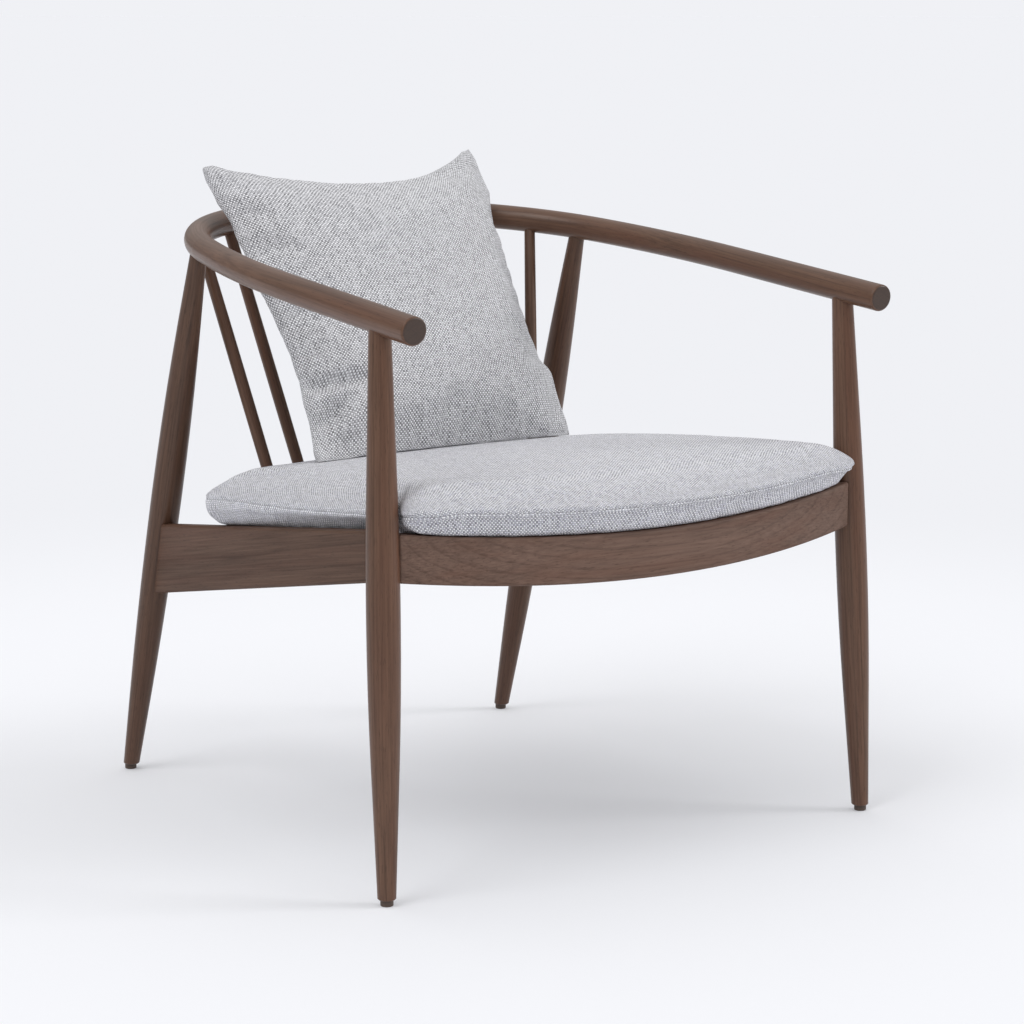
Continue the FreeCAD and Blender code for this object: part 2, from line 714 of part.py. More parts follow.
def turned_spindle(name, foot, top):
    """A spindle with a round tenon at both ends."""
    body = new_body(name + "_turning")
    length = spread(foot, top)
    belly = length * SPINDLE_BELLY_SHARE
    tenon, tip = D["spindle_tenon_radius"], length + D["spindle_tenon_past"]
    sink = -D["spindle_tenon_depth"]
    shoulder = -D["spindle_belly_radius"]
    foot_radius, belly_radius, neck_radius = (D["spindle_%s_radius" % part] for part in ("foot",
            "belly", "neck"))
    low = (foot_radius + (belly_radius - foot_radius) * 0.75, belly / 2.0)
    high = (neck_radius + (belly_radius - neck_radius) * 0.75, (belly + length) / 2.0)
    steps = [((tenon, sink),), ((tenon, shoulder),), ((foot_radius, shoulder),), ((foot_radius, ZERO),),
             (low, (belly_radius, belly)), (high, (neck_radius, length)), ((tenon, length),), ((tenon,
                     tip),),
             ((ZERO, tip),), ((ZERO, sink),)]
    sketch = draw(body, name + "_profile", "XZ_Plane", (ZERO, sink), steps)
    revolve(body, name + "_turned", sketch)
    body.Placement = along(foot, top)
    return body


# Webbing

STRAPS = 5


def rail_inner_side(along_y):
    """Distance from the middle of the chair to a side rail's inner face, at a Y coordinate."""
    share = (along_y - FRONT_AXIS[1]) / (REAR_AXIS[1] - FRONT_AXIS[1])
    return -(FRONT_AXIS[0] + (REAR_AXIS[0] - FRONT_AXIS[0]) * share) - D["side_rail_thickness"] / 2.0


def strap_band(name, number, room):
    """A flat band across the seat under the plane of the rails' tops, its ends inside the side rails."""
    first, last = FRONT_AXIS[1] + D["strap_front_gap"], rear_rail_ends() - D["strap_rear_gap"]
    along_y = first + (last - first) * (number / (STRAPS - 1.0))
    half = rail_inner_side(along_y) + D["strap_grip"] + room
    wide = D["strap_width"] + room * 2.0
    thick = D["strap_thickness"] + room
    band = doc.addObject("Part::Box", name)
    band.setExpression("Length", (half * 2.0).text)
    band.setExpression("Width", wide.text)
    band.setExpression("Height", thick.text)
    spot = Vector(0, along_y.value, rail_top_at(along_y).value)
    drop = D["strap_drop"].value + D["strap_thickness"].value
    band.Placement = Placement(spot, Rotation(Vector(1, 0, 0), -seat_tilt())).multiply(
        Placement(Vector(-half.value, -wide.value / 2, -drop), Rotation()))
    return band


# Cushions

# stations across the half cushion: share of the half width, fullness, share of the corners' cut
STATION_SHARES = ((0.0, 1.0, 0.0), (0.30, 1.0, 0.0), (0.58, 0.99, 0.0), (0.78, 0.95, 0.0),
                  (0.90, 0.82, 0.05), (0.965, 0.56, 0.28), (1.0, 0.16, 1.0))


def arc_edge(start, middle, end):
    """An arc through three points, or a line where they are in a row."""
    if (middle - start).cross(end - start).Length < 1e-3 * (end - start).Length:
        return Part.LineSegment(start, end).toShape()
    return Part.Arc(start, middle, end).toShape()


def cushion_top(v, along_y):
    """Thickness of the seat cushion over the rails' tops, at a Y coordinate."""
    share = (along_y - v["front"]) / (v["back"] - v["front"])
    return v["cushion_front_thickness"] + (v["cushion_rear_thickness"] -
                                           v["cushion_front_thickness"]) * share


def cushion_values():
    """The sizes and the places that the seat cushion follows, as numbers."""
    v = {key: size.value for key, size in D.items()}
    v["leg"] = FRONT_AXIS[1].value
    v["apex"] = front_rail_apex().value
    v["front"] = v["apex"] - v["cushion_overhang"]
    v["back"] = (rear_rail_centre().value + v["rear_rail_bow"] - v["rear_rail_thickness"] / 2
                 - v["cushion_rear_gap"])
    share = (v["rail_front_top"] + v["cushion_seam_front"]) / FRONT_TOP[2].value
    inner = -FRONT_FOOT[0].value + (FRONT_FOOT[0].value - FRONT_TOP[0].value) * share
    v["half"] = inner - v["front_belly_radius"] + v["cushion_leg_wrap"]
    return v


def seat_cushion_section(v, station):
    """Upright section of the seat cushion, front to back, at a distance from the middle."""
    sign, (across, puff, corner_cut) = station
    side = v["half"] * across
    front = v["front"] + side ** 2 / (2 * v["cushion_front_bow"]) + v["cushion_front_corner"] * corner_cut
    back = v["back"] - side ** 2 / (2 * v["cushion_back_bow"]) - v["cushion_rear_corner"] * corner_cut
    sweep = v["front_rail_sweep"]
    dip = max(0.0, v["front_rail_dip"] - (sweep - math.sqrt(sweep ** 2 - side ** 2)))
    crown = 1 - across ** 2
    tuck = v["cushion_tuck"] * (0.4 + 0.6 * puff)
    shoulder = v["cushion_shoulder"] * (0.4 + 0.6 * puff)
    knee = max(v["leg"] + v["cushion_knee"], front + tuck * 2)

    def sink(along_y):
        """The front follows the dip of the front rail."""
        return dip * min(1.0, max(0.0, (knee - along_y) / (knee - v["apex"])))

    def plane(along_y):
        return rail_top_at(Size(along_y, "0")).value - sink(along_y)

    def seam(along_y):
        share = (along_y - v["front"]) / (v["back"] - v["front"])
        return v["cushion_seam_front"] + (v["cushion_seam_rear"] - v["cushion_seam_front"]) * share

    def base(along_y, fall):
        return plane(along_y) + v["cushion_clear"] + seam(along_y) * 0.8 * (1 - puff) - fall

    def top(along_y, rise):
        return plane(along_y) + seam(along_y) + (cushion_top(v, along_y) - seam(along_y)) * puff + rise

    middle, flat = (front + back) / 2, (knee + back - tuck) / 2
    places = {
        "front": (front, plane(front) + seam(front)), "back": (back, plane(back) + seam(back)),
        "under_front": (front + tuck, base(front + tuck, 0)), "under_back": (back - tuck, base(back -
                tuck, 0)),
        "knee": (knee, base(knee, 0)), "under": (flat, base(flat, v["cushion_belly"] * crown * puff)),
        "over_front": (front + shoulder, top(front + shoulder, 0)),
        "over_back": (back - shoulder, top(back - shoulder, -v["cushion_crown"] * puff)),
        "over": (middle, top(middle, v["cushion_crown"] * crown * puff)),
    }
    at = {key: Vector(side * sign, y, z) for key, (y, z) in places.items()}

    def bulge(a, b, up):
        """Middle of a rounded border between the seam and a face."""
        chord = (at[a] + at[b]) / 2
        out = at[b] - at[a]
        normal = Vector(0, -out.z, out.y).normalize()
        if (normal.z > 0) != up:
            normal = -normal
        return chord + normal * out.Length * 0.17

    return Part.Wire([
        arc_edge(at["front"], bulge("front", "over_front", True), at["over_front"]),
        arc_edge(at["over_front"], at["over"], at["over_back"]),
        arc_edge(at["over_back"], bulge("back", "over_back", True), at["back"]),
        arc_edge(at["back"], bulge("back", "under_back", False), at["under_back"]),
        arc_edge(at["under_back"], at["under"], at["knee"]),
        Part.LineSegment(at["knee"], at["under_front"]).toShape(),
        arc_edge(at["under_front"], bulge("front", "under_front", False), at["front"]),
    ])


def seat_cushion_solid():
    """Crowned pad with drawn-in sides, lofted across the chair."""
    v = cushion_values()
    stations = [(-1, row) for row in reversed(STATION_SHARES[1:])] + [(1, row) for row in STATION_SHARES]
    pad_shape = Part.makeLoft([seat_cushion_section(v, station) for station in stations], True, False)
    for sign in (-1, 1):
        foot, top = (Vector(-sign * point[0].value, point[1].value, point[2].value)
                     for point in (FRONT_FOOT, FRONT_TOP))
        around = v["front_belly_radius"] + v["cushion_leg_clear"]
        pad_shape = pad_shape.cut(Part.makeCylinder(around, (top - foot).Length, foot, top - foot))
    return pad_shape


PILLOW_SHARES = (0.0, 0.055, 0.16, 0.33, 0.52, 0.72, 0.87, 0.95, 1.0)
EAR_SHARES = (1.0, 0.62, 0.22, 0.04, 0.0, 0.04, 0.24, 0.64, 1.0)
FULL_SHARES = (0.0, 0.38, 0.70, 0.94, 1.0, 0.92, 0.68, 0.36, 0.0)


def pillow_section(height_share, ear_share, full_share):
    """Level section of the pillow in its own frame: X across, Y through it, Z up along it."""
    half = D["pillow_width"].value / 2 + D["pillow_ear"].value * ear_share
    seam = D["pillow_seam"].value / 2
    deep = seam + (D["pillow_depth"].value / 2 - seam) * full_share
    z = D["pillow_height"].value * height_share
    lean = Vector(D["pillow_skew"].value * height_share, 0, 0)
    tips = Vector(half, 0, z), Vector(-half, 0, z)
    edges = []
    for side, (start, end) in ((1, tips), (-1, tips[::-1])):
        first, last = (Vector(0.74 * tip.x, side * deep * 0.68, z) for tip in (start, end))
        swell = Vector(0.10 * (start.x - first.x), side * deep * 0.09, 0)
        spots = (start, (start + first) / 2 + swell, first, Vector(0, side * deep, z), last,
                 (last + end) / 2 + Vector(-swell.x, swell.y, 0), end)
        spots = [spot + lean for spot in spots]
        edges += [arc_edge(*spots[0:3]), arc_edge(*spots[2:5]), arc_edge(*spots[4:7])]
    return Part.Wire(edges)


def back_cushion_solid():
    """A square pillow with drawn-in sides and pointed corners, lofted from its lower to its upper seam."""
    wires = [pillow_section(*row) for row in zip(PILLOW_SHARES, EAR_SHARES, FULL_SHARES)]
    return Part.makeLoft(wires, True, False)


def back_cushion_place():
    """The pillow stands on the seat cushion and leans back until its side seams come to the bow."""
    v = cushion_values()
    foot_y = v["back"] - v["pillow_ahead"]
    foot_z = rail_top_at(Size(foot_y, "0")).value + cushion_top(v, foot_y) + v["pillow_rest"]
    half = v["pillow_width"] / 2
    first = v["bow_back_radius"] * math.sin(math.radians(v["bow_back_turn"]))
    sine_there = math.sin(math.radians(v["bow_back_turn"])) + (half - first) / v["bow_corner_radius"]
    heading = math.degrees(math.asin(min(1.0, sine_there)))
    bow = [size.value for size in bow_place(bow_flat(Size(heading, repr(heading))))]
    run = (bow[1] - v["bow_radius"] - v["pillow_bow_gap"]
           - half * math.sin(math.radians(v["pillow_turn"])) - foot_y)
    lean = Rotation(Vector(1, 0, 0), -math.degrees(math.atan2(run, bow[2] - foot_z)))
    turn = Rotation(Vector(0, 0, 1), v["pillow_turn"])
    return Placement(Vector(v["pillow_side"], foot_y, foot_z), turn.multiply(lean))


def soft_piece(name, shape, place=None):
    piece = doc.addObject("Part::Feature", name)
    piece.Shape = shape
    if place is not None:
        piece.Placement = place
    return piece


# The chair

FRONT_TOP = bow_place(arm_flat(D["front_leg_setback"]))
FRONT_FOOT = [FRONT_TOP[0] - D["front_leg_splay"], FRONT_TOP[1] - D["front_leg_rake"], ZERO]
REAR_TOP = bow_place(bow_flat(D["rear_leg_turn"]))
REAR_FOOT = [REAR_TOP[0] - D["rear_leg_splay"], REAR_TOP[1] + D["rear_leg_rake"], ZERO]
FRONT_AXIS = leg_at(FRONT_FOOT, FRONT_TOP, (D["rail_front_top"] + D["rail_front_bottom"]) / 2.0)
REAR_AXIS = leg_at(REAR_FOOT, REAR_TOP, (D["rail_rear_top"] + D["rail_rear_bottom"]) / 2.0)

pieces = []


def keep(name, item):
    """Names a finished sub-part."""
    item.Label = name
    pieces.append((name, item))
    return item


def keep_pair(name, item):
    """Keeps a left-hand piece and its mirror image."""
    keep(name + "_left", item)
    keep(name + "_right", mirror(name + "_right", item))


blank = bow_blank()
legs = {}
sockets = []
for kind, foot, top in (("front", FRONT_FOOT, FRONT_TOP), ("rear", REAR_FOOT, REAR_TOP)):
    legs[kind] = turned_leg(kind, foot, top)
    sockets.append(socket(kind + "_socket", foot, top, D["leg_tenon_radius"],
                          D["bow_radius"] + D["overrun"], D["leg_tenon_past"]))

side_core = side_rail_bar("side_rail_core", D["side_tenon_clear"], D["tenon_shoulder"],
                          D["tenon_thickness"], False)
side_blank = side_rail_bar("side_rail_blank", D["front_belly_radius"] - D["rail_bite"], ZERO,
                           D["side_rail_thickness"], True)

rail_outer = D["front_rail_bow"]
rail_inner = D["front_rail_bow"] - D["front_rail_thickness"]
rail_middle = (rail_outer + rail_inner) / 2.0
tenon_half = D["tenon_thickness"] / 2.0
front_blank = common("front_rail_sawn",
                     front_rail_band("front_rail_band", rail_outer, rail_inner,
                                     D["front_belly_radius"] - D["rail_bite"]),
                     front_rail_sweep("front_rail_sweep", ZERO))
front_core = common("front_rail_core",
                    front_rail_band("front_rail_core_band", rail_middle + tenon_half, rail_middle -
                                    tenon_half,
                                    D["front_tenon_clear"]),
                    front_rail_sweep("front_rail_core_sweep", D["tenon_shoulder"]))
doc.recompute()
front_rounded = doc.addObject("Part::Fillet", "front_rail_rounded")
front_rounded.Base = front_blank
front_rounded.Edges = [(number + 1, D["front_rail_round"].value, D["front_rail_round"].value)
                       for number in range(len(front_blank.Shape.Edges))]

rail_side = rail_inner_side(rear_rail_ends())
rear_blank, rear_pad = rear_rail_band("rear_rail_blank", D["rear_rail_thickness"], D["rear_rail_height"],
                                      rail_side + D["side_rail_thickness"] / 2.0)
round_all(rear_blank, "rear_rail_rounding", rear_pad, D["rear_rail_round"])
rear_core, _ = rear_rail_band("rear_rail_core", D["rear_tenon_thickness"],
                              D["rear_rail_height"] - D["tenon_shoulder"] * 2.0, rail_side +
                              D["rear_tenon_length"])
for band in (rear_blank, rear_core):
    band.Placement = on_seat_plane(D["rear_rail_drop"] + D["rear_rail_height"] / 2.0)

spindles = []
for number, (turn, step) in enumerate(zip(SPINDLE_TURNS, (5, 3, 1)), start=1):
    name = "spindle_%s" % ("outer", "middle", "inner")[number - 1]
    foot, top = spindle_foot(step), bow_place(bow_flat(D[turn]))
    spindles.append((name, foot, top, turned_spindle(name, foot, top)))
    sockets.append(socket(name + "_socket", foot, top, D["spindle_tenon_radius"],
                          D["bow_radius"] + D["overrun"], D["spindle_tenon_past"]))
sockets += [mirror(item.Name + "_right", item) for item in list(sockets)]
doc.recompute()
arm_bow = cut("bow_bored", blank, *sockets)

mirrored_legs = {kind: mirror(kind + "_leg_turning_right", leg) for kind, leg in legs.items()}
side_shouldered = cut("side_rail_shouldered", side_blank, legs["front"], legs["rear"])
side_tenoned = fuse("side_rail_tenoned", side_shouldered, side_core)
straps = [strap_band("webbing_strap_%d" % (number + 1), number, ZERO) for number in range(STRAPS)]
slots = [strap_band("webbing_slot_%d" % (number + 1), number, D["strap_room"]) for number in range(STRAPS)]
side_rail = cut("side_rail_slotted", side_tenoned, rear_core, *slots)
side_blank_right = mirror("side_rail_blank_right", side_blank)
rear_shouldered = cut("rear_rail_shouldered", rear_blank, side_blank, side_blank_right)
rear_tenoned = fuse("rear_rail_tenoned", rear_shouldered, rear_core)

feet_bores = []
for name, foot, top, _ in spindles:
    bore = doc.addObject("Part::Cylinder", name + "_foot_bore")
    bore.setExpression("Radius", D["spindle_tenon_radius"].text)
    bore.setExpression("Height", (D["spindle_tenon_depth"] + D["overrun"]).text)
    bore.Placement = along(foot, top).multiply(
        Placement(Vector(0, 0, -D["spindle_tenon_depth"].value), Rotation()))
    feet_bores.append(bore)
feet_bores += [mirror(item.Name + "_right", item) for item in list(feet_bores)]
rear_rail = cut("rear_rail_bored", rear_tenoned, *feet_bores)

front_shouldered = cut("front_rail_shouldered", front_rounded, legs["front"], mirrored_legs["front"])
front_rail = fuse("front_rail_tenoned", front_shouldered, front_core)

keep("arm_bow", arm_bow)
for kind, foot in (("front", FRONT_FOOT), ("rear", REAR_FOOT)):
    stem = doc.addObject("Part::Cylinder", kind + "_stem_bore")
    stem.setExpression("Radius", D["glide_stem_radius"].text)
    stem.setExpression("Height", (D["glide_height"] + D["glide_stem_length"]).text)
    stem.Placement = Placement(vector(foot), Rotation())
    tools = [arm_bow, side_core, floor_cutter(kind, foot),
             stem] + ([front_core] if kind == "front" else [])
    leg = cut(kind + "_leg_sawn", legs[kind], *tools)
    keep_pair(kind + "_leg", bevel_foot(kind + "_leg_bevelled", leg))
keep("front_rail", front_rail)
keep_pair("side_rail", side_rail)
keep("rear_rail", rear_rail)
for name, foot, top, turned in spindles:
    keep_pair(name, cut(name + "_coped", turned, arm_bow, rear_rail))
for number, strap in enumerate(straps, start=1):
    keep("webbing_strap_%d" % number, strap)
for kind, foot in (("front", FRONT_FOOT), ("rear", REAR_FOOT)):
    keep_pair("glide_" + kind, glide("glide_%s_body" % kind, foot))
keep("seat_cushion", soft_piece("seat_cushion_pad", seat_cushion_solid()))
keep("back_cushion", soft_piece("back_cushion_pad", back_cushion_solid(), back_cushion_place()))

doc.recompute()
for item in doc.Objects:
    if "Invalid" in item.State or "Error" in item.State:
        raise RuntimeError("%s did not compute: %s" % (item.Name, item.State))
os.makedirs("parts", exist_ok=True)
for name, item in pieces:
    shape = item.Shape
    if shape.isNull() or not shape.isValid() or len(shape.Solids) != 1:
        raise RuntimeError("%s is not one valid solid (%d solids)" % (name, len(shape.Solids)))
    shape.exportStep("parts/%s.step" % name)
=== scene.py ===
"""Horseshoe back armchair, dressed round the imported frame.

Walnut frame, elastic seat webbing, a loose seat cushion and a loose scatter cushion, in a pale studio.
Everything is in metres, in the frame of the CAD model: x to the right, front towards -y, z up.
"""

import logging
import math
from dataclasses import dataclass
from enum import Enum
from typing import ClassVar

import bmesh
import bpy
import numpy as np
from mathutils import Matrix, Vector
from mathutils.bvhtree import BVHTree


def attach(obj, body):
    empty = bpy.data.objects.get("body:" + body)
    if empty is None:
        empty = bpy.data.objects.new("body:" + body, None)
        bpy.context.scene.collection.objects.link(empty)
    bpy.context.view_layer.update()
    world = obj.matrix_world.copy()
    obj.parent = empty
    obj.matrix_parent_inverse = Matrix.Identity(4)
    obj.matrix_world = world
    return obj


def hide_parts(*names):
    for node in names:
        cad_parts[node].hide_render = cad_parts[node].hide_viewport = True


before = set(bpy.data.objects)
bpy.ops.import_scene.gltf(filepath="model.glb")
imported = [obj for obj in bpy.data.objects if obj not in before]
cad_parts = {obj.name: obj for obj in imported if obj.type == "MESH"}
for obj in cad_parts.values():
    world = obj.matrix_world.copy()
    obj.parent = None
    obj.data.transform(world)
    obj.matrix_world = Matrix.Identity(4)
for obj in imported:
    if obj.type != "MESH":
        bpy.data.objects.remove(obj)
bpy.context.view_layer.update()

LOG = logging.getLogger("armchair")
Point = tuple[float, float, float]
Band = tuple[float, float]  # where something begins and where it is full, or a place on a plane
DOWN = Vector((0.0, 0.0, -1.0))
UNDERSIDE = -0.8  # faces whose normal's z is below this belong to the underside
WEAVE_MAP = "weave"
HALF_WAY = {"factor": 0.5, "use_axis_x": True, "use_axis_y": True, "use_axis_z": True}


def linear(hex_colour: str) -> tuple[float, float, float, float]:
    """Turns an sRGB hex colour into linear light.

    Args:
        hex_colour: six hex digits after a hash.
    Returns:
        Red, green, blue and an alpha of 1, linear.
    """
    parts = [int(hex_colour[i : i + 2], 16) / 255.0 for i in (1, 3, 5)]
    red, green, blue = (c / 12.92 if c <= 0.04045 else ((c + 0.055) / 1.055) ** 2.4 for c in parts)
    return (red, green, blue, 1.0)


def add_node(
    tree: bpy.types.NodeTree,
    kind: str,
    inputs: dict[int | str, object] | None = None,
    out: int | str | None = 0,
    **settings: object,
) -> object:
    """Adds a node with its settings and links.

    Args:
        tree: the node tree that takes the node.
        kind: Blender's name of the node type, where ShaderNode in front may be left out.
        inputs: per input, a value, an output socket to link, or a list of such sockets.
        out: the output to give back, or None for all of them.
        settings: the node's own properties.
    Returns:
        The output socket, or all outputs.
    """
    node = tree.nodes.new(kind if "Node" in kind else f"ShaderNode{kind}")
    for name, value in settings.items():
        setattr(node, name, value)
    for key, value in (inputs or {}).items():
        for source in value if isinstance(value, list) else [value]:
            if isinstance(source, bpy.types.NodeSocket):
                tree.links.new(source, node.inputs[key])
            else:
                node.inputs[key].default_value = source
    return node.outputs if out is None else node.outputs[out]


def new_material(name: str) -> tuple[bpy.types.Material, bpy.types.NodeTree]:
    """Makes an empty node material.

    Args:
        name: the material's name.
    Returns:
        The material and its node tree.
    """
    material = bpy.data.materials.new(name)
    material.use_nodes = True
    material.node_tree.nodes.clear()
    return material, material.node_tree


def link_object(name: str, mesh: bpy.types.Mesh) -> bpy.types.Object:
    """Puts a mesh into the scene.

    Args:
        name: the piece's name.
        mesh: its mesh, in the row frame.
    Returns:
        The object, at the origin.
    """
    piece = bpy.data.objects.new(name, mesh)
    bpy.context.scene.collection.objects.link(piece)
    return piece


def settled(piece: bpy.types.Object) -> bpy.types.Object:
    """Turns a piece's modifiers into plain mesh.

    Args:
        piece: the object with live modifiers.
    Returns:
        The same object, with a plain mesh and no modifier.
    """
    bpy.context.view_layer.update()
    graph = bpy.context.evaluated_depsgraph_get()
    mesh = bpy.data.meshes.new_from_object(piece.evaluated_get(graph))
    old = piece.data
    piece.modifiers.clear()
    piece.data = mesh
    mesh.name = piece.name
    bpy.data.meshes.remove(old)
    return piece


def positions(mesh: bpy.types.Mesh) -> np.ndarray:
    """Reads a mesh's points as an array of rows."""
    points = np.empty(len(mesh.vertices) * 3)
    mesh.vertices.foreach_get("co", points)
    return points.reshape(-1, 3)


def place(mesh: bpy.types.Mesh, points: np.ndarray) -> None:
    """Writes an array of rows back to a mesh's points."""
    mesh.vertices.foreach_set("co", points.ravel())
    mesh.update()


def point_normals(mesh: bpy.types.Mesh) -> np.ndarray:
    """Reads a mesh's point normals as an array of rows."""
    normals = np.empty(len(mesh.vertices) * 3)
    mesh.vertices.foreach_get("normal", normals)
    return normals.reshape(-1, 3)


def smoothstep(value: np.ndarray, low: float, high: float) -> np.ndarray:
    """Eases from 0 at low to 1 at high."""
    share = np.clip((value - low) / (high - low), 0.0, 1.0)
    return share * share * (3.0 - 2.0 * share)


def paint(node: str, material: bpy.types.Material) -> None:
    """Puts a material into all slots of a CAD node."""
    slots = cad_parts[node].data.materials
    for index in range(len(slots)):
        slots[index] = material
    LOG.info("%s: %s", node, material.name)


def shape_tree(name: str, numbers: dict[str, str]) -> bpy.types.NodeTree:
    """Makes a geometry tree with named number inputs.

    Args:
        name: the tree's name.
        numbers: per input, Float or Int.
    Returns:
        The tree.
    """
    tree = bpy.data.node_groups.new(name, "GeometryNodeTree")
    tree.interface.new_socket("Geometry", in_out="INPUT", socket_type="NodeSocketGeometry")
    for number, kind in numbers.items():
        tree.interface.new_socket(number, in_out="INPUT", socket_type=f"NodeSocket{kind}")
    tree.interface.new_socket("Geometry", in_out="OUTPUT", socket_type="NodeSocketGeometry")
    return tree


def grow(piece: bpy.types.Object, tree: bpy.types.NodeTree, values: dict[str, float]) -> None:
    """Runs a geometry tree on a piece and keeps the result as plain mesh.

    Args:
        piece: the piece.
        tree: the tree.
        values: its inputs by name.
    """
    modifier = piece.modifiers.new("shape", "NODES")
    modifier.node_group = tree
    for item in tree.interface.items_tree:
        if item.name in values:
            modifier[item.identifier] = values[item.name]
    settled(piece)


def rays_at(piece: bpy.types.Object) -> BVHTree:
    """Makes a piece ready for rays that look for its faces."""
    mesh = piece.data
    return BVHTree.FromPolygons([v.co[:] for v in mesh.vertices], [p.vertices[:] for p in mesh.polygons])


class Finish:
    """A finish of one real material. Its kinds say what the surface is made of."""

    name: str

    def build(self) -> bpy.types.Material:
        """Builds the node material.

        Returns:
            The material.
        """
        material, tree = new_material(self.name)
        shader = add_node(tree, "BsdfPrincipled", self._surface(tree))
        add_node(tree, "OutputMaterial", {"Surface": shader}, out=None)
        return material

    def _surface(self, tree: bpy.types.NodeTree) -> dict[str, object]:
        """Builds what the finish looks like.

        Args:
            tree: the material's tree.
        Returns:
            The inputs of the shader, by name.
        """
        raise NotImplementedError


class GrainCut(Enum):
    """How a wooden piece was cut, which sets the figure on its surface."""

    TURNED = "turned"
    SAWN = "sawn"
    BENT = "bent"


@dataclass(frozen=True)
class WalnutFinish(Finish):
    """American walnut under a satin oil: brown with darker growth lines, fine pores and a low soft gloss."""

    piece: str
    cut: GrainCut
    axis: Point
    centre: Point
    seed: float
    shade: float = 1.0  # this piece's brightness, below 1 darker: partly board tone and partly painted light and shade, matched to how bright each piece looks under the lamps
    pale: str = "#7b5b48"
    dark: str = "#4b3529"
    pore: str = "#32231b"
    russet: str = "#6b4433"
    ring_spacing: float = 0.0082  # chosen wider than walnut's own growth rings, which are 3 to 6 mm apart
    fibre_width: float = 0.0011  # real fibres are finer; drawn 1.1 mm wide so that they show
    pore_length: float = 0.012  # vessels show as strokes about 12 mm long

    @property
    def name(self) -> str:
        """Names the material after its piece."""
        return f"walnut_satin_oil_{self.piece}"

    def _grain_space(self, tree: bpy.types.NodeTree) -> bpy.types.NodeSocket:
        """Gives coordinates whose x runs along the grain.

        Args:
            tree: the material's tree.
        Returns:
            A vector socket, in metres.
        """
        spot = add_node(tree, "TexCoord", out="Object")
        if self.cut is not GrainCut.BENT:
            turn = Vector(self.axis).rotation_difference(Vector((1.0, 0.0, 0.0)))
            shift = -(turn @ Vector(self.centre))
            return add_node(tree, "Mapping", {"Vector": spot, "Location": shift, "Rotation": turn.to_euler()})
        # The rod's grain follows its bend: x is the length along the bow, y the distance from its centre.
        parts = add_node(tree, "SeparateXYZ", {0: spot}, out=None)
        ahead = add_node(tree, "Math", {0: parts[1], 1: self.centre[1]}, operation="SUBTRACT")
        behind = add_node(tree, "Math", {0: ahead, 1: 0.0}, operation="MAXIMUM")
        arm = add_node(tree, "Math", {0: ahead, 1: 0.0}, operation="MINIMUM")
        side = add_node(tree, "Math", {0: parts[0]}, operation="ABSOLUTE")
        across_square = add_node(tree, "Math", {0: side, 1: side}, operation="MULTIPLY")
        radius_square = add_node(
            tree, "Math", {0: behind, 1: behind, 2: across_square}, operation="MULTIPLY_ADD"
        )
        radius = add_node(tree, "Math", {0: radius_square}, operation="SQRT")
        angle = add_node(tree, "Math", {0: behind, 1: side}, operation="ARCTAN2")
        along = add_node(tree, "Math", {0: angle, 1: self.centre[0], 2: arm}, operation="MULTIPLY_ADD")
        # The bow falls forward at 5.75 degrees, so its height is read from that plane.
        rise = add_node(tree, "Math", {0: parts[1], 1: -0.1007, 2: parts[2]}, operation="MULTIPLY_ADD")
        return add_node(tree, "CombineXYZ", {0: along, 1: radius, 2: rise})

    def _shaded(self, colour: str) -> tuple[float, float, float, float]:
        """Gives a colour in this piece's brightness, which is partly board tone and partly painted light and
        shade.
        """
        red, green, blue, alpha = linear(colour)
        return (red * self.shade, green * self.shade, blue * self.shade, alpha)

    def _surface(self, tree: bpy.types.NodeTree) -> dict[str, object]:
        """Lays growth lines, fibres, pores and warm streaks along the grain.

        Args:
            tree: the material's tree.
        Returns:
            The inputs of the shader, by name.
        """
        sawn = self.cut is GrainCut.SAWN
        grain = self._grain_space(tree)
        drift = (self.seed, self.seed * 0.37, self.seed * 0.71)
        shifted = add_node(tree, "VectorMath", {0: grain, 1: drift})
        # Fibres and pores run along the grain and are far longer than wide.
        thread = 1.0 / self.fibre_width
        fields = {
            "wander": ((1.9, 7.0, 7.0), 2.0, "Color"),
            "fibre": ((9.0, thread * 0.5, thread * 0.5), 3.0, "Fac"),
            "vessel": ((1.0 / self.pore_length, thread, thread), 1.0, "Fac"),
            "tone": ((3.0, 34.0, 34.0), 2.0, "Fac"),
            "hue": ((2.2, 60.0, 60.0), 1.0, "Fac"),
        }
        noise = {}
        for field, (scale, detail, out) in fields.items():
            drawn = add_node(tree, "Mapping", {"Vector": shifted, "Scale": scale})
            noise[field] = add_node(
                tree, "TexNoise", {"Vector": drawn, "Scale": 1.0, "Detail": detail}, out=out
            )
        # The trunk is never quite straight: a slow wander of some millimetres bends the growth lines.
        sway = (0.0, 0.020, 0.020) if sawn else (0.0, 0.012, 0.012)
        bend = add_node(tree, "VectorMath", {0: noise["wander"], 1: sway, 2: grain}, operation="MULTIPLY_ADD")
        # Rings round a heart that lies outside the blank; a board's heart is nearer, which gives arches.
        heart = (0.0, 0.085, -0.070) if sawn else (0.0, 0.16, 0.09)
        from_heart = add_node(tree, "VectorMath", {0: bend, 1: heart})
        flat = add_node(tree, "VectorMath", {0: from_heart, 1: (0.05, 1.0, 1.0)}, operation="MULTIPLY")
        reach = add_node(tree, "VectorMath", {0: flat}, out="Value", operation="LENGTH")
        turns = add_node(tree, "Math", {0: reach, 1: 1.0 / self.ring_spacing}, operation="MULTIPLY")
        ring = add_node(tree, "Math", {0: turns}, operation="FRACT")
        slopes = {}
        for side, foot in enumerate((0.66, 1.0)):
            edge = {"Value": ring, "From Min": foot, "From Max": 0.93}
            slopes[side] = add_node(tree, "MapRange", edge, interpolation_type="SMOOTHSTEP")
        line = add_node(tree, "Math", slopes, operation="MULTIPLY")
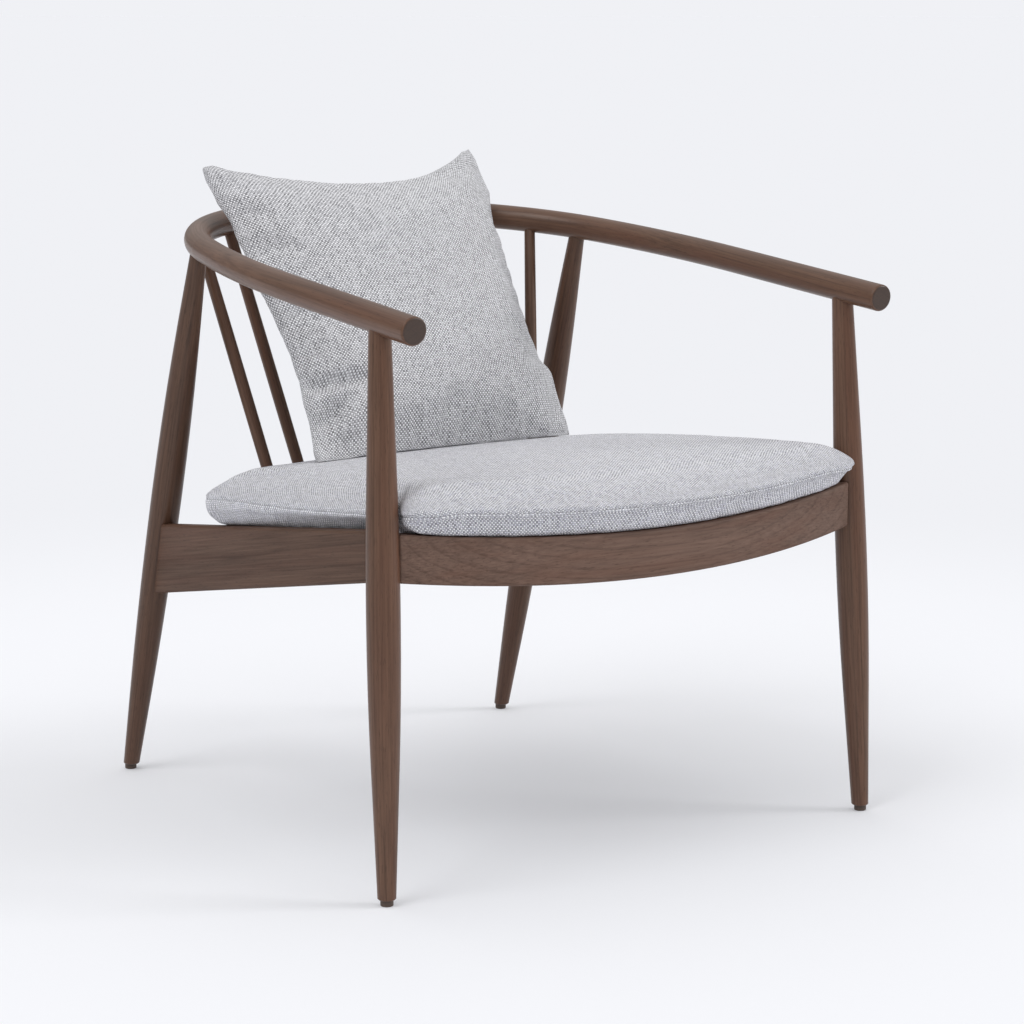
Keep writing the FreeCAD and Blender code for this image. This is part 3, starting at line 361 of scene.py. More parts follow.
        # Depth of colour: 0 pale, 1 dark.
        depth = -0.55
        for part, weight in ((noise["fibre"], 1.15), (noise["tone"], 0.80), (line, 0.22 if sawn else 0.18)):
            depth = add_node(tree, "Math", {0: part, 1: weight, 2: depth}, operation="MULTIPLY_ADD")
        depth = add_node(tree, "Clamp", {"Value": depth, "Min": 0.0, "Max": 1.0})
        pore = add_node(tree, "MapRange", {"Value": noise["vessel"], "From Min": 0.60, "From Max": 0.74})
        pore_share = add_node(tree, "Math", {0: pore, 1: 0.38}, operation="MULTIPLY")
        # Here and there the heartwood runs warmer.
        warmth = {"Value": noise["hue"], "From Min": 0.45, "From Max": 0.68, "To Max": 0.32}
        warm = add_node(tree, "MapRange", warmth)
        wood = self._shaded(self.pale)
        for share, tone in ((depth, self.dark), (warm, self.russet), (pore_share, self.pore)):
            wood = add_node(tree, "Mix", {0: share, 6: wood, 7: self._shaded(tone)}, out=2, data_type="RGBA")
        if self.cut is GrainCut.BENT:
            wood = self._end_grain(tree, wood)
        height = add_node(tree, "Math", {0: pore, 1: -0.6, 2: noise["fibre"]}, operation="MULTIPLY_ADD")
        bump = add_node(tree, "Bump", {"Height": height, "Strength": 0.25, "Distance": 0.0002})
        # Rods are rubbed smoother than sawn faces.
        low, high, sheen = (0.46, 0.60, 0.20) if sawn else (0.27, 0.39, 0.32)
        gloss = add_node(tree, "MapRange", {"Value": depth, "To Min": low, "To Max": high})
        shine = {"Roughness": gloss, "IOR": 1.5, "Specular IOR Level": sheen}
        return {"Base Color": wood, "Normal": bump, **shine}

    def _end_grain(self, tree: bpy.types.NodeTree, colour: bpy.types.NodeSocket) -> bpy.types.NodeSocket:
        """Darkens the cut ends of the bow, which soak up more oil and turn greyer.

        Args:
            tree: the material's tree.
            colour: the long-grain colour.
        Returns:
            The colour with dark ends.
        """
        around = add_node(tree, "TexCoord", out=None)
        facing = add_node(tree, "SeparateXYZ", {0: around["Normal"]}, out=1)
        where = add_node(tree, "SeparateXYZ", {0: around["Object"]}, out=1)
        end = add_node(tree, "MapRange", {"Value": facing, "From Min": -0.72, "From Max": -0.92})
        arm = add_node(tree, "Math", {0: where, 1: -0.2}, operation="LESS_THAN")
        share = add_node(tree, "Math", {0: end, 1: arm}, operation="MULTIPLY")
        share = add_node(tree, "Math", {0: share, 1: 0.75}, operation="MULTIPLY")
        return add_node(tree, "Mix", {0: share, 6: colour, 7: linear("#3b3431")}, out=2, data_type="RGBA")


@dataclass(frozen=True)
class HopsackFinish(Finish):
    """Wool-blend hopsack: a pale warp over a greyer melange weft, painted shade in the gaps between the knots,
    no gloss.
    """

    name: str
    # The yarns are drawn 2.25 mm apart. That was scaled from how often the weave repeats across crops of
    # the photograph and of a render, and it is near the photograph's limit, so the real cloth may differ.
    pitch: float = 0.00225
    wander: float = 0.9  # the most that a yarn strays, in pitches, where the noise is full
    pale: str = "#fbfbff"
    middle: str = "#d5d5da"
    charcoal: str = "#7e7e82"
    gap_shade: str = "#575757"

    def _surface(self, tree: bpy.types.NodeTree) -> dict[str, object]:
        """Crosses warp and weft yarns of changing shades.

        Args:
            tree: the material's tree.
        Returns:
            The inputs of the shader, by name.
        """
        spot = add_node(tree, "UVMap", uv_map=WEAVE_MAP)
        body = add_node(tree, "TexCoord", out="Object")
        # The yarns wander by a part of their pitch, so no row is ruler-straight.
        wobble = add_node(tree, "TexNoise", {"Vector": body, "Scale": 55.0, "Detail": 2.0}, out="Color")
        count = add_node(tree, "Mapping", {"Vector": spot, "Scale": (1.0 / self.pitch,) * 3})
        stray = (self.wander, self.wander, 0.0)
        count = add_node(tree, "VectorMath", {0: wobble, 1: stray, 2: count}, operation="MULTIPLY_ADD")
        parts = add_node(tree, "SeparateXYZ", {0: count}, out=None)
        bumps, cells = [], []
        for part in (parts[0], parts[1]):
            cells.append(add_node(tree, "Math", {0: part}, operation="FLOOR"))
            share = add_node(tree, "Math", {0: part}, operation="FRACT")
            arch = add_node(tree, "Math", {0: share, 1: math.pi}, operation="MULTIPLY")
            bumps.append(add_node(tree, "Math", {0: arch}, operation="SINE"))
        total = add_node(tree, "Math", {0: cells[0], 1: cells[1]}, operation="ADD")
        over = add_node(tree, "Math", {0: total, 1: 2.0}, operation="FLOORED_MODULO")
        # Where the warp is on top its knot is long in v, and elsewhere the weft's is long in u.
        knots = []
        for first, second in ((bumps[0], bumps[1]), (bumps[1], bumps[0])):
            wide = add_node(tree, "Math", {0: first, 1: 1.15}, operation="POWER")
            long = add_node(tree, "Math", {0: second, 1: 0.5}, operation="POWER")
            knots.append(add_node(tree, "Math", {0: wide, 1: long}, operation="MULTIPLY"))
        knot = add_node(tree, "Mix", {0: over, 2: knots[0], 3: knots[1]})
        # Each yarn changes shade every few knots along its run, as melange does.
        runs = []
        for own, other, offset in ((cells[0], cells[1], 0.0), (cells[1], cells[0], 500.5)):
            stretch = add_node(tree, "Math", {0: other, 1: 0.23}, operation="MULTIPLY")
            step = add_node(tree, "Math", {0: stretch}, operation="FLOOR")
            runs.append(add_node(tree, "CombineXYZ", {0: own, 1: step, 2: offset}))
        yarn = add_node(tree, "Mix", {0: over, 4: runs[0], 5: runs[1]}, out=1, data_type="VECTOR")
        dye = add_node(tree, "TexWhiteNoise", {"Vector": yarn}, out="Value", noise_dimensions="3D")
        cell = add_node(tree, "CombineXYZ", {0: cells[0], 1: cells[1]})
        fleck = add_node(tree, "TexWhiteNoise", {"Vector": cell}, out="Value", noise_dimensions="2D")
        blend = add_node(tree, "Math", {0: dye, 1: fleck}, operation="ADD")
        warp = add_node(tree, "MapRange", {"Value": blend, "From Max": 1.1})
        weft = add_node(tree, "MapRange", {"Value": blend, "From Min": 0.3, "From Max": 1.9})
        warp_wool = add_node(
            tree, "Mix", {0: warp, 6: linear(self.middle), 7: linear(self.pale)}, out=2, data_type="RGBA"
        )
        weft_wool = add_node(
            tree, "Mix", {0: weft, 6: linear(self.charcoal), 7: linear(self.middle)}, out=2, data_type="RGBA"
        )
        wool = add_node(tree, "Mix", {0: over, 6: weft_wool, 7: warp_wool}, out=2, data_type="RGBA")
        # Painted shade: the cloth darkens towards the dark gap colour where a knot falls away into the gap
        # between the yarns.
        depth = add_node(
            tree, "MapRange", {"Value": knot, "From Min": 0.0, "From Max": 0.55, "To Min": 0.75, "To Max": 0.0}
        )
        colour = add_node(tree, "Mix", {0: depth, 6: wool, 7: linear(self.gap_shade)}, out=2, data_type="RGBA")
        fuzz = add_node(tree, "TexNoise", {"Vector": body, "Scale": 1600.0, "Detail": 1.0}, out="Fac")
        height = add_node(tree, "Math", {0: fuzz, 1: 0.35, 2: knot}, operation="MULTIPLY_ADD")
        bump = add_node(tree, "Bump", {"Height": height, "Strength": 0.7, "Distance": 0.0007})
        gloss = {"Roughness": 0.92, "Specular IOR Level": 0.25, "Sheen Weight": 0.12, "Sheen Roughness": 0.5}
        return {"Base Color": colour, "Normal": bump, **gloss}


@dataclass(frozen=True)
class ThreadFinish(Finish):
    """Grey polyester sewing thread: matt, a touch darker than the cloth it holds."""

    name: str = "polyester_sewing_thread_grey"
    colour: str = "#8e8f91"

    def _surface(self, tree: bpy.types.NodeTree) -> dict[str, object]:
        """Shades the ply of the thread.

        Args:
            tree: the material's tree.
        Returns:
            The inputs of the shader, by name.
        """
        spot = add_node(tree, "TexCoord", out="Object")
        # The ply of the thread shows as a shade change every 0.7 mm.
        ply = add_node(tree, "TexNoise", {"Vector": spot, "Scale": 1400.0}, out="Fac")
        colour = add_node(
            tree, "Mix", {0: ply, 6: linear("#6f7072"), 7: linear(self.colour)}, out=2, data_type="RGBA"
        )
        return {"Base Color": colour, "Roughness": 0.7}


@dataclass(frozen=True)
class WebbingFinish(Finish):
    """Elastic upholstery webbing of rubber cores in black polypropylene: matt, with a fine cross weave."""

    name: str = "elastic_webbing_black_polypropylene"
    pick: float = 0.0016  # the cross yarns are 1.6 mm apart

    def _surface(self, tree: bpy.types.NodeTree) -> dict[str, object]:
        """Lays the cross weave over the rubber cores.

        Args:
            tree: the material's tree.
        Returns:
            The inputs of the shader, by name.
        """
        spot = add_node(tree, "TexCoord", out="Object")
        parts = add_node(tree, "SeparateXYZ", {0: spot}, out=None)
        angle = add_node(tree, "Math", {0: parts[0], 1: math.tau / self.pick}, operation="MULTIPLY")
        wave = add_node(tree, "Math", {0: angle}, operation="SINE")
        share = add_node(tree, "Math", {0: wave, 1: 0.35, 2: 0.5}, operation="MULTIPLY_ADD")
        # Painted shade: the colour follows the weave's bump, lighter on the ridges and darker in the troughs.
        colour = add_node(
            tree, "Mix", {0: share, 6: linear("#1c1c1d"), 7: linear("#39393b")}, out=2, data_type="RGBA"
        )
        bump = add_node(tree, "Bump", {"Height": wave, "Strength": 0.4, "Distance": 0.0003})
        return {"Base Color": colour, "Roughness": 0.78, "Normal": bump}


@dataclass(frozen=True)
class NylonFinish(Finish):
    """Moulded dark nylon of the glides: even, slightly scuffed where they meet the floor."""

    name: str = "moulded_nylon_dark_brown"

    def _surface(self, tree: bpy.types.NodeTree) -> dict[str, object]:
        """Scuffs the nylon near the floor.

        Args:
            tree: the material's tree.
        Returns:
            The inputs of the shader, by name.
        """
        spot = add_node(tree, "TexCoord", out="Object")
        height = add_node(tree, "SeparateXYZ", {0: spot}, out=2)
        scuff = add_node(tree, "TexNoise", {"Vector": spot, "Scale": 900.0, "Detail": 3.0}, out="Fac")
        low = add_node(tree, "MapRange", {"Value": height, "From Min": 0.002, "From Max": 0.0})
        share = add_node(tree, "Math", {0: scuff, 1: low}, operation="MULTIPLY")
        colour = add_node(
            tree, "Mix", {0: share, 6: linear("#4a3a31"), 7: linear("#6a5b50")}, out=2, data_type="RGBA"
        )
        rough = add_node(tree, "MapRange", {"Value": scuff, "To Min": 0.42, "To Max": 0.6})
        return {"Base Color": colour, "Roughness": rough, "IOR": 1.53}


def long_axis(node: str) -> tuple[Point, Point]:
    """Finds the long axis of a straight wooden piece from its own points.

    Args:
        node: the CAD node's name.
    Returns:
        The axis as a unit vector, and the piece's centre.
    """
    points = positions(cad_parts[node].data)
    low, high = points.min(axis=0), points.max(axis=0)
    _, _, rows = np.linalg.svd(points - points.mean(axis=0), full_matrices=False)
    axis = rows[0] * (1.0 if rows[0][2] >= 0.0 else -1.0)
    return tuple(float(v) for v in axis), tuple(float(v) for v in (low + high) / 2.0)


@dataclass
class WoodenFrame:
    """The glued walnut frame: bow, legs, rails and spindles. The CAD solids stay and are finished here."""

    turned: tuple[str, ...] = tuple(
        f"{part}_{side}"
        for part in ("front_leg", "rear_leg", "spindle_outer", "spindle_middle", "spindle_inner")
        for side in ("left", "right")
    )
    sawn: tuple[str, ...] = ("front_rail", "side_rail_left", "side_rail_right", "rear_rail")
    # Per-piece brightness, partly board tone and partly painted light and shade: the front rail is lightened as
    # painted light, and the side rails and rear legs are darkened as painted shade.
    shades: ClassVar[dict[str, float]] = {
        "front_rail": 1.08,
        "side_rail_left": 0.65,
        "side_rail_right": 0.80,
        "rear_leg_left": 0.66,
        "rear_leg_right": 0.64,
        "front_leg_left": 0.86,
        "front_leg_right": 0.86,
    }
    # The front rail's greyer tint is partly painted sheen. It stands in for the grey gloss that a glossier
    # finish would give it.
    tints: ClassVar[dict[str, dict[str, str]]] = {
        "front_rail": {"pale": "#765e52", "dark": "#4b3a32", "russet": "#68493b"},
    }
    # The brightness of the other pieces and of the bow, also partly painted light and shade.
    usual_shade: float = 0.74
    bow_shade: float = 0.84
    bow_radius: float = 0.310  # mean radius of the bent back, which turns the grain round
    bow_turn_y: float = 0.055  # where the arms run into the bend

    def dress(self) -> None:
        """Gives each wooden solid its own cut of walnut and its own brightness, which is partly painted light
        and shade.
        """
        for order, node in enumerate(self.turned + self.sawn):
            axis, centre = long_axis(node)
            cut = GrainCut.TURNED if node in self.turned else GrainCut.SAWN
            if node in ("front_rail", "rear_rail"):
                axis = (1.0, 0.0, 0.0)
            shade = self.shades.get(node, self.usual_shade)
            tint = self.tints.get(node, {})
            paint(node, WalnutFinish(node, cut, axis, centre, 1.7 * order + 0.3, shade, **tint).build())
        bend = (self.bow_radius, self.bow_turn_y, 0.0)
        bow = WalnutFinish("arm_bow", GrainCut.BENT, (1.0, 0.0, 0.0), bend, 31.4, self.bow_shade)
        paint("arm_bow", bow.build())


@dataclass
class Glides:
    """The four nylon glides under the legs."""

    nodes: tuple[str, ...] = ("glide_front_left", "glide_front_right", "glide_rear_left", "glide_rear_right")

    def dress(self) -> None:
        """Gives the glides their nylon."""
        material = NylonFinish().build()
        for node in self.nodes:
            paint(node, material)


@dataclass
class SeatWebbing:
    """Elastic straps across the seat, between slots in the side rails. Each has cord-like ribs along it."""

    count: int = 5
    rib_pitch: float = 0.0033
    core_share: float = 0.55
    body: str = "frame"

    def build(self) -> None:
        """Builds each strap over its CAD solid."""
        material = WebbingFinish().build()
        tree = self._rib_tree(material)
        for number in range(1, self.count + 1):
            node = f"webbing_strap_{number}"
            strap = self._strap(node, tree)
            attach(strap, self.body)
            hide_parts(node)
            LOG.info("%s: %d faces", strap.name, len(strap.data.polygons))

    def _strap(self, node: str, tree: bpy.types.NodeTree) -> bpy.types.Object:
        """Makes one strap from the corners of its CAD solid.

        Args:
            node: the CAD node's name.
            tree: the rib tree.
        Returns:
            The strap, in place.
        """
        points = positions(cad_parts[node].data)
        low, high = points.min(axis=0), points.max(axis=0)
        front = points[points[:, 1] < (low[1] + high[1]) / 2.0]
        back = points[points[:, 1] >= (low[1] + high[1]) / 2.0]
        run = Vector((0.0, *(back.mean(axis=0) - front.mean(axis=0))[1:]))
        pitch_angle = math.atan2(run.z, run.y)
        thickness = float(high[2] - low[2]) - abs(math.sin(pitch_angle)) * float(high[1] - low[1])
        thickness /= math.cos(pitch_angle)
        width = float(high[1] - low[1]) / math.cos(pitch_angle) - abs(math.tan(pitch_angle)) * thickness
        strap = link_object(node.replace("webbing", "ribbed"), bpy.data.meshes.new(node))
        values = {
            "Length": float(high[0] - low[0]),
            "Width": width,
            "Thickness": thickness,
            "Ribs": max(3, int(width / self.rib_pitch)),
        }
        grow(strap, tree, values)
        centre = Vector([float(v) for v in (low + high) / 2.0])
        strap.data.transform(Matrix.Translation(centre) @ Matrix.Rotation(pitch_angle, 4, "X"))
        return strap

    def _rib_tree(self, material: bpy.types.Material) -> bpy.types.NodeTree:
        """Makes the node tree of a ribbed strap, centred on the origin, its length along x.

        Args:
            material: the webbing's material.
        Returns:
            The tree, with inputs Length, Width, Thickness and Ribs.
        """
        numbers = {"Length": "Float", "Width": "Float", "Thickness": "Float", "Ribs": "Int"}
        tree = shape_tree("ribbed_webbing", numbers)
        given = add_node(tree, "NodeGroupInput", out=None)
        radius = add_node(tree, "Math", {0: given["Thickness"], 1: 0.5}, operation="MULTIPLY")
        half_length = add_node(tree, "Math", {0: given["Length"], 1: 0.5}, operation="MULTIPLY")
        half_width = add_node(tree, "Math", {0: given["Width"], 1: 0.5, 2: -0.001}, operation="MULTIPLY_ADD")
        ends = []
        for sign in (-1.0, 1.0):
            reach = add_node(tree, "Math", {0: half_length, 1: sign}, operation="MULTIPLY")
            ends.append(add_node(tree, "CombineXYZ", {0: reach}))
        rod_line = add_node(tree, "GeometryNodeCurvePrimitiveLine", {"Start": ends[0], "End": ends[1]})
        ring = add_node(tree, "GeometryNodeCurvePrimitiveCircle", {"Resolution": 8, "Radius": radius})
        rod = add_node(
            tree, "GeometryNodeCurveToMesh", {"Curve": rod_line, "Profile Curve": ring, "Fill Caps": True}
        )
        sides = []
        for sign in (-1.0, 1.0):
            reach = add_node(tree, "Math", {0: half_width, 1: sign}, operation="MULTIPLY")
            sides.append(add_node(tree, "CombineXYZ", {1: reach}))
        row = add_node(
            tree,
            "GeometryNodeMeshLine",
            {"Count": given["Ribs"], "Start Location": sides[0], "Offset": sides[1]},
            mode="END_POINTS",
        )
        ribs = add_node(tree, "GeometryNodeInstanceOnPoints", {"Points": row, "Instance": rod})
        core_height = add_node(tree, "Math", {0: given["Thickness"], 1: self.core_share}, operation="MULTIPLY")
        core_width = add_node(tree, "Math", {0: half_width, 1: 2.0}, operation="MULTIPLY")
        size = add_node(tree, "CombineXYZ", {0: given["Length"], 1: core_width, 2: core_height})
        core = add_node(tree, "GeometryNodeMeshCube", {"Size": size})
        both = add_node(tree, "GeometryNodeJoinGeometry", {0: [ribs, core]})
        real = add_node(tree, "GeometryNodeRealizeInstances", {0: both})
        done = add_node(tree, "GeometryNodeSetMaterial", {"Geometry": real, "Material": material})
        add_node(tree, "NodeGroupOutput", {0: done}, out=None)
        return tree


@dataclass(frozen=True)
class ClothStretch:
    """How a sewn cover is blown up over its filling."""

    pressure: float
    slack: float
    cap: float
    frames: int = 20

    def swell(self, pad: bpy.types.Object, held: np.ndarray) -> None:
        """Runs the cloth and writes its shape to the pad's mesh.

        Args:
            pad: the remeshed pad.
            held: per point, 1 where the seam holds it and 0 where it is free.
        """
        group = pad.vertex_groups.new(name="seam")
        for index in np.nonzero(held > 0.0)[0]:
            group.add([int(index)], float(held[index]), "REPLACE")
        start = positions(pad.data)
        modifier = pad.modifiers.new("cover", "CLOTH")
        cloth = modifier.settings
        cloth.quality = 5
        cloth.mass = 0.25
        cloth.tension_stiffness = 22.0
        cloth.compression_stiffness = 22.0
        cloth.shear_stiffness = 9.0
        cloth.bending_stiffness = 1.1
        cloth.use_pressure = True
        cloth.uniform_pressure_force = self.pressure
        cloth.shrink_min = -self.slack
        cloth.vertex_group_mass = group.name
        cloth.effector_weights.gravity = 0.0
        modifier.collision_settings.use_collision = False
        modifier.point_cache.frame_start = 1
        modifier.point_cache.frame_end = self.frames
        scene = bpy.context.scene
        for number in range(1, self.frames + 1):
            scene.frame_set(number)
        graph = bpy.context.evaluated_depsgraph_get()
        end = positions(pad.evaluated_get(graph).data)
        pad.modifiers.clear()
        scene.frame_set(1)
        move = end - start
        length = np.linalg.norm(move, axis=1, keepdims=True)
        place(pad.data, start + move * np.minimum(1.0, self.cap / np.maximum(length, 1e-9)))
        pad.vertex_groups.clear()


def closed_copy(node: str, name: str, voxel: float) -> bpy.types.Object:
    """Copies a soft CAD solid as one even closed mesh.

    Args:
        node: the CAD node's name.
        name: the new piece's name.
        voxel: the size of its faces.
    Returns:
        The new piece.
    """
    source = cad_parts[node].data
    work = bmesh.new()
    work.from_mesh(source)
    bmesh.ops.remove_doubles(work, verts=work.verts, dist=1e-5)
    mesh = bpy.data.meshes.new(name)
    work.to_mesh(mesh)
    work.free()
    mesh.materials.clear()
    pad = link_object(name, mesh)
    remesh = pad.modifiers.new("even", "REMESH")
    remesh.mode = "VOXEL"
    remesh.voxel_size = voxel
    remesh.use_smooth_shade = True
    return settled(pad)


def relax(mesh: bpy.types.Mesh, rounds: int) -> None:
    """Evens out a mesh by moving each point towards its neighbours.

    Args:
        mesh: the mesh.
        rounds: how often.
    """
    work = bmesh.new()
    work.from_mesh(mesh)
    for _ in range(rounds):
        bmesh.ops.smooth_vert(work, verts=work.verts, **HALF_WAY)
    work.to_mesh(mesh)
    work.free()
    mesh.update()


def subdivided(pad: bpy.types.Object) -> bpy.types.Object:
    """Gives a pad one level of subdivision, as plain mesh.

    Args:
        pad: the piece.
    Returns:
        The same piece.
    """
    finer = pad.modifiers.new("finer", "SUBSURF")
    finer.levels = finer.render_levels = 1
    settled(pad)
    for face in pad.data.polygons:
        face.use_smooth = True
    return pad


def seam_tree(name: str, thread: bpy.types.Material) -> bpy.types.NodeTree:
    """Makes the tree that lays stitches along a loop of edges.

    Args:
        name: the tree's name.
        thread: the stitches' material.
    Returns:
        The tree, with inputs Spacing, Length and Radius.
    """
    tree = shape_tree(name, {"Spacing": "Float", "Length": "Float", "Radius": "Float"})
    given = add_node(tree, "NodeGroupInput", out=None)
    curve = add_node(tree, "GeometryNodeMeshToCurve", {0: given["Geometry"]})
    points = add_node(
        tree, "GeometryNodeCurveToPoints", {"Curve": curve, "Length": given["Spacing"]}, out=None, mode="LENGTH"
    )
    stitch = add_node(tree, "GeometryNodeMeshUVSphere", {"Segments": 6, "Rings": 4, "Radius": given["Radius"]})
    longer = add_node(tree, "Math", {0: given["Length"], 1: given["Radius"]}, operation="DIVIDE")
    half = add_node(tree, "Math", {0: longer, 1: 0.5}, operation="MULTIPLY")
    stretch = add_node(tree, "CombineXYZ", {0: 1.0, 1: 1.0, 2: half})
    row = add_node(
        tree,
        "GeometryNodeInstanceOnPoints",
        {"Points": points["Points"], "Instance": stitch, "Rotation": points["Rotation"], "Scale": stretch},
    )
    real = add_node(tree, "GeometryNodeRealizeInstances", {0: row})
    done = add_node(tree, "GeometryNodeSetMaterial", {"Geometry": real, "Material": thread})
    add_node(tree, "NodeGroupOutput", {0: done}, out=None)
    return tree


def lay_stitches(
    name: str, path: list[Vector], tree: bpy.types.NodeTree, spacing: float, length: float, radius: float
) -> bpy.types.Object:
    """Sews a row of stitches along a closed path.

    Args:
        name: the piece's name.
        path: the seam's points.
        tree: the stitch tree.
        spacing: distance from stitch to stitch.
        length: length of a stitch.
        radius: half the thread's thickness.
    Returns:
        The finished row.
    """
    mesh = bpy.data.meshes.new(name)
    edges = [(i, (i + 1) % len(path)) for i in range(len(path))]
    mesh.from_pydata([tuple(p) for p in path], edges, [])
    row = link_object(name, mesh)
    grow(row, tree, {"Spacing": spacing, "Length": length, "Radius": radius})
    for face in row.data.polygons:
        face.use_smooth = True
    return row


@dataclass
class SeatCushion:
    """The loose seat pad: a D-shaped foam block in a sewn cover, with one seam low on its side."""

    body: str = "seat_cushion_body"
    voxel: float = 0.005
    stretch: ClothStretch = ClothStretch(pressure=3.0, slack=0.008, cap=0.0028)
    # The rails below it. The seat plane drops by seat_fall per metre of depth.
    seat_fall: float = 0.1266
    rail_top: float = 0.4099
    rail_front_y: float = -0.3047
    rail_clear: float = 0.0006
    rail_reach: float = 0.06  # a rail is looked for this far below the seam
    dip_depth: float = 0.0203
    dip_radius: float = 2.857
    dip_fade: Band = (-0.370, -0.235)
    # Its outline. The front is an arc that falls back by the square of x over front_curve.
    front_y: float = -0.3833
    back_y: float = 0.1636
    front_curve: float = 2.170
    half_width: float = 0.3205
    # The seam's height above the plane, and how it is pulled in.
    seam_front: float = 0.021
    seam_back: float = 0.034
    seam_hold: Band = (0.003, 0.008)
    seam_reach: float = 0.0035
    seam_depth: float = 0.0016
    steep: Band = (0.4, 0.8)
    side_drop: float = 0.0055
    side_in: Band = (0.25, 0.31)
    side_fade: Band = (-0.15, 0.08)
    # The ends reach out at the seam, but not beside the front legs.
    tip_reach: float = 0.0065
    tip_height: float = 0.017
    tip_in: Band = (0.235, 0.315)
    leg_y: float = -0.302
    leg_gap: Band = (0.018, 0.034)
    # The top starts low, because the filling lifts it.
    start_low: float = 0.0026
    top_in: Band = (0.006, 0.022)
    # The lip at the front stays up, and behind it the pad lies on the rails.
    lip_drop: float = 0.0095
    lip_rise: float = 0.0078
    below_in: Band = (0.001, 0.012)
    lip_in: Band = (0.010, 0.021)
    front_rail_out: Band = (-0.335, -0.285)
    side_rail_in: Band = (0.002, 0.016)
    side_rail_along: Band = (0.235, 0.275)
    side_rail_front: Band = (0.016, 0.040)
    rear_rail_in: Band = (0.080, 0.110)
    weave_top: float = 0.055
    stitch_spacing: float = 0.0052
    stitch_length: float = 0.0034
    stitch_radius: float = 0.00045

    def seam_height(self, points: np.ndarray) -> np.ndarray:
        """Gives the height of the seam over the floor at each point.

        Args:
            points: rows of x, y, z.
        Returns:
            The heights.
        """
        share = np.clip((points[:, 1] - self.front_y) / (self.back_y - self.front_y), 0.0, 1.0)
        plane = self.rail_top - self.seat_fall * (points[:, 1] - self.rail_front_y)
        dip = self.dip_depth - (self.dip_radius - np.sqrt(self.dip_radius**2 - points[:, 0] ** 2))
        near_front = 1.0 - smoothstep(points[:, 1], *self.dip_fade)
        side = smoothstep(np.abs(points[:, 0]), *self.side_in)
        side = side * (1.0 - smoothstep(points[:, 1], *self.side_fade))
        lift = self.seam_front + (self.seam_back - self.seam_front) * share - self.side_drop * side
        return plane + lift - dip * near_front

    def build(self) -> bpy.types.Object:
        """Builds the cushion, its seam and its stitches.

        Returns:
            The cushion.
        """
        pad = closed_copy("seat_cushion", "seat_pad", self.voxel)
        relax(pad.data, 2)
        self._pull_out(pad)
        self._map_weave(pad)
        points = positions(pad.data)
        held = 1.0 - smoothstep(np.abs(points[:, 2] - self.seam_height(points)), *self.seam_hold)
        normals = point_normals(pad.data)
        held = np.maximum(held, (normals[:, 2] < UNDERSIDE).astype(float))
        self.stretch.swell(pad, held)
        subdivided(pad)
        self._press_seam(pad)
        # Painted light: the seat's cloth is the scatter cushion's hopsack drawn lighter, gaps included, for the
        # brighter light that falls on the seat's top.
        shades = {"pale": "#fdfdff", "middle": "#dddde8", "charcoal": "#91919a", "gap_shade": "#6b6b6f"}
        pad.data.materials.append(HopsackFinish("hopsack_melange_grey_seat_painted_lighter", **shades).build())
        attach(pad, self.body)
        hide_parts("seat_cushion")
        LOG.info("%s: %d faces", pad.name, len(pad.data.polygons))
        thread = ThreadFinish().build()
        tree = seam_tree("seat_stitch_row", thread)
        sizes = (self.stitch_spacing, self.stitch_length, self.stitch_radius)
        row = lay_stitches("seat_pad_stitches", self._seam_path(pad), tree, *sizes)
        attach(row, self.body)
        LOG.info("%s: %d faces", row.name, len(row.data.polygons))
        return pad

    def _pull_out(self, pad: bpy.types.Object) -> None:
        """Draws the cover out to its seam at both ends and lets its front lip down on the rail.

        Args:
            pad: the cushion.
        """
        points = positions(pad.data)
        level = self.seam_height(points)
        off = points[:, 2] - level
        near_seam = np.exp(-((off / self.tip_height) ** 2))
        end = smoothstep(np.abs(points[:, 0]), *self.tip_in)
        end *= smoothstep(np.abs(points[:, 1] - self.leg_y), *self.leg_gap)
        points[:, 0] += np.sign(points[:, 0]) * self.tip_reach * end * near_seam
        points[:, 2] -= self.start_low * smoothstep(off, *self.top_in)
        below = smoothstep(-off, *self.below_in)
        front_in = points[:, 1] - (self.front_y + points[:, 0] ** 2 / self.front_curve)
        behind_lip = smoothstep(front_in, *self.lip_in)
        rim = behind_lip * (1.0 - smoothstep(points[:, 1], *self.front_rail_out))
        lip = (1.0 - behind_lip) * below
        points[:, 2] += lip * self.lip_rise
        inward = self.half_width - np.abs(points[:, 0])
        along_side = smoothstep(np.abs(points[:, 0]), *self.side_rail_along)
        along_side = along_side * smoothstep(front_in, *self.side_rail_front)
        rim = np.maximum(rim, smoothstep(inward, *self.side_rail_in) * along_side)
        rim = np.maximum(rim, smoothstep(points[:, 1], *self.rear_rail_in))
        points[:, 2] -= self.lip_drop * below * rim
        rails = self._rails()
        for index in np.nonzero(below * rim > 0.0)[0]:
            spot = Vector((points[index, 0], points[index, 1], level[index]))
            hit = rails.ray_cast(spot, DOWN, self.rail_reach)[0]
            if hit is not None:
                points[index, 2] = max(points[index, 2], hit.z + self.rail_clear)
        place(pad.data, points)

    def _rails(self) -> BVHTree:
        """Gathers the four rails that the cushion lies on.

        Returns:
            Their faces, ready for rays.
        """
        points, faces = [], []
        for node in ("front_rail", "side_rail_left", "side_rail_right", "rear_rail"):
            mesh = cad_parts[node].data
            shift = len(points)
            points.extend(v.co[:] for v in mesh.vertices)
            faces.extend([i + shift for i in p.vertices] for p in mesh.polygons)
        return BVHTree.FromPolygons(points, faces)

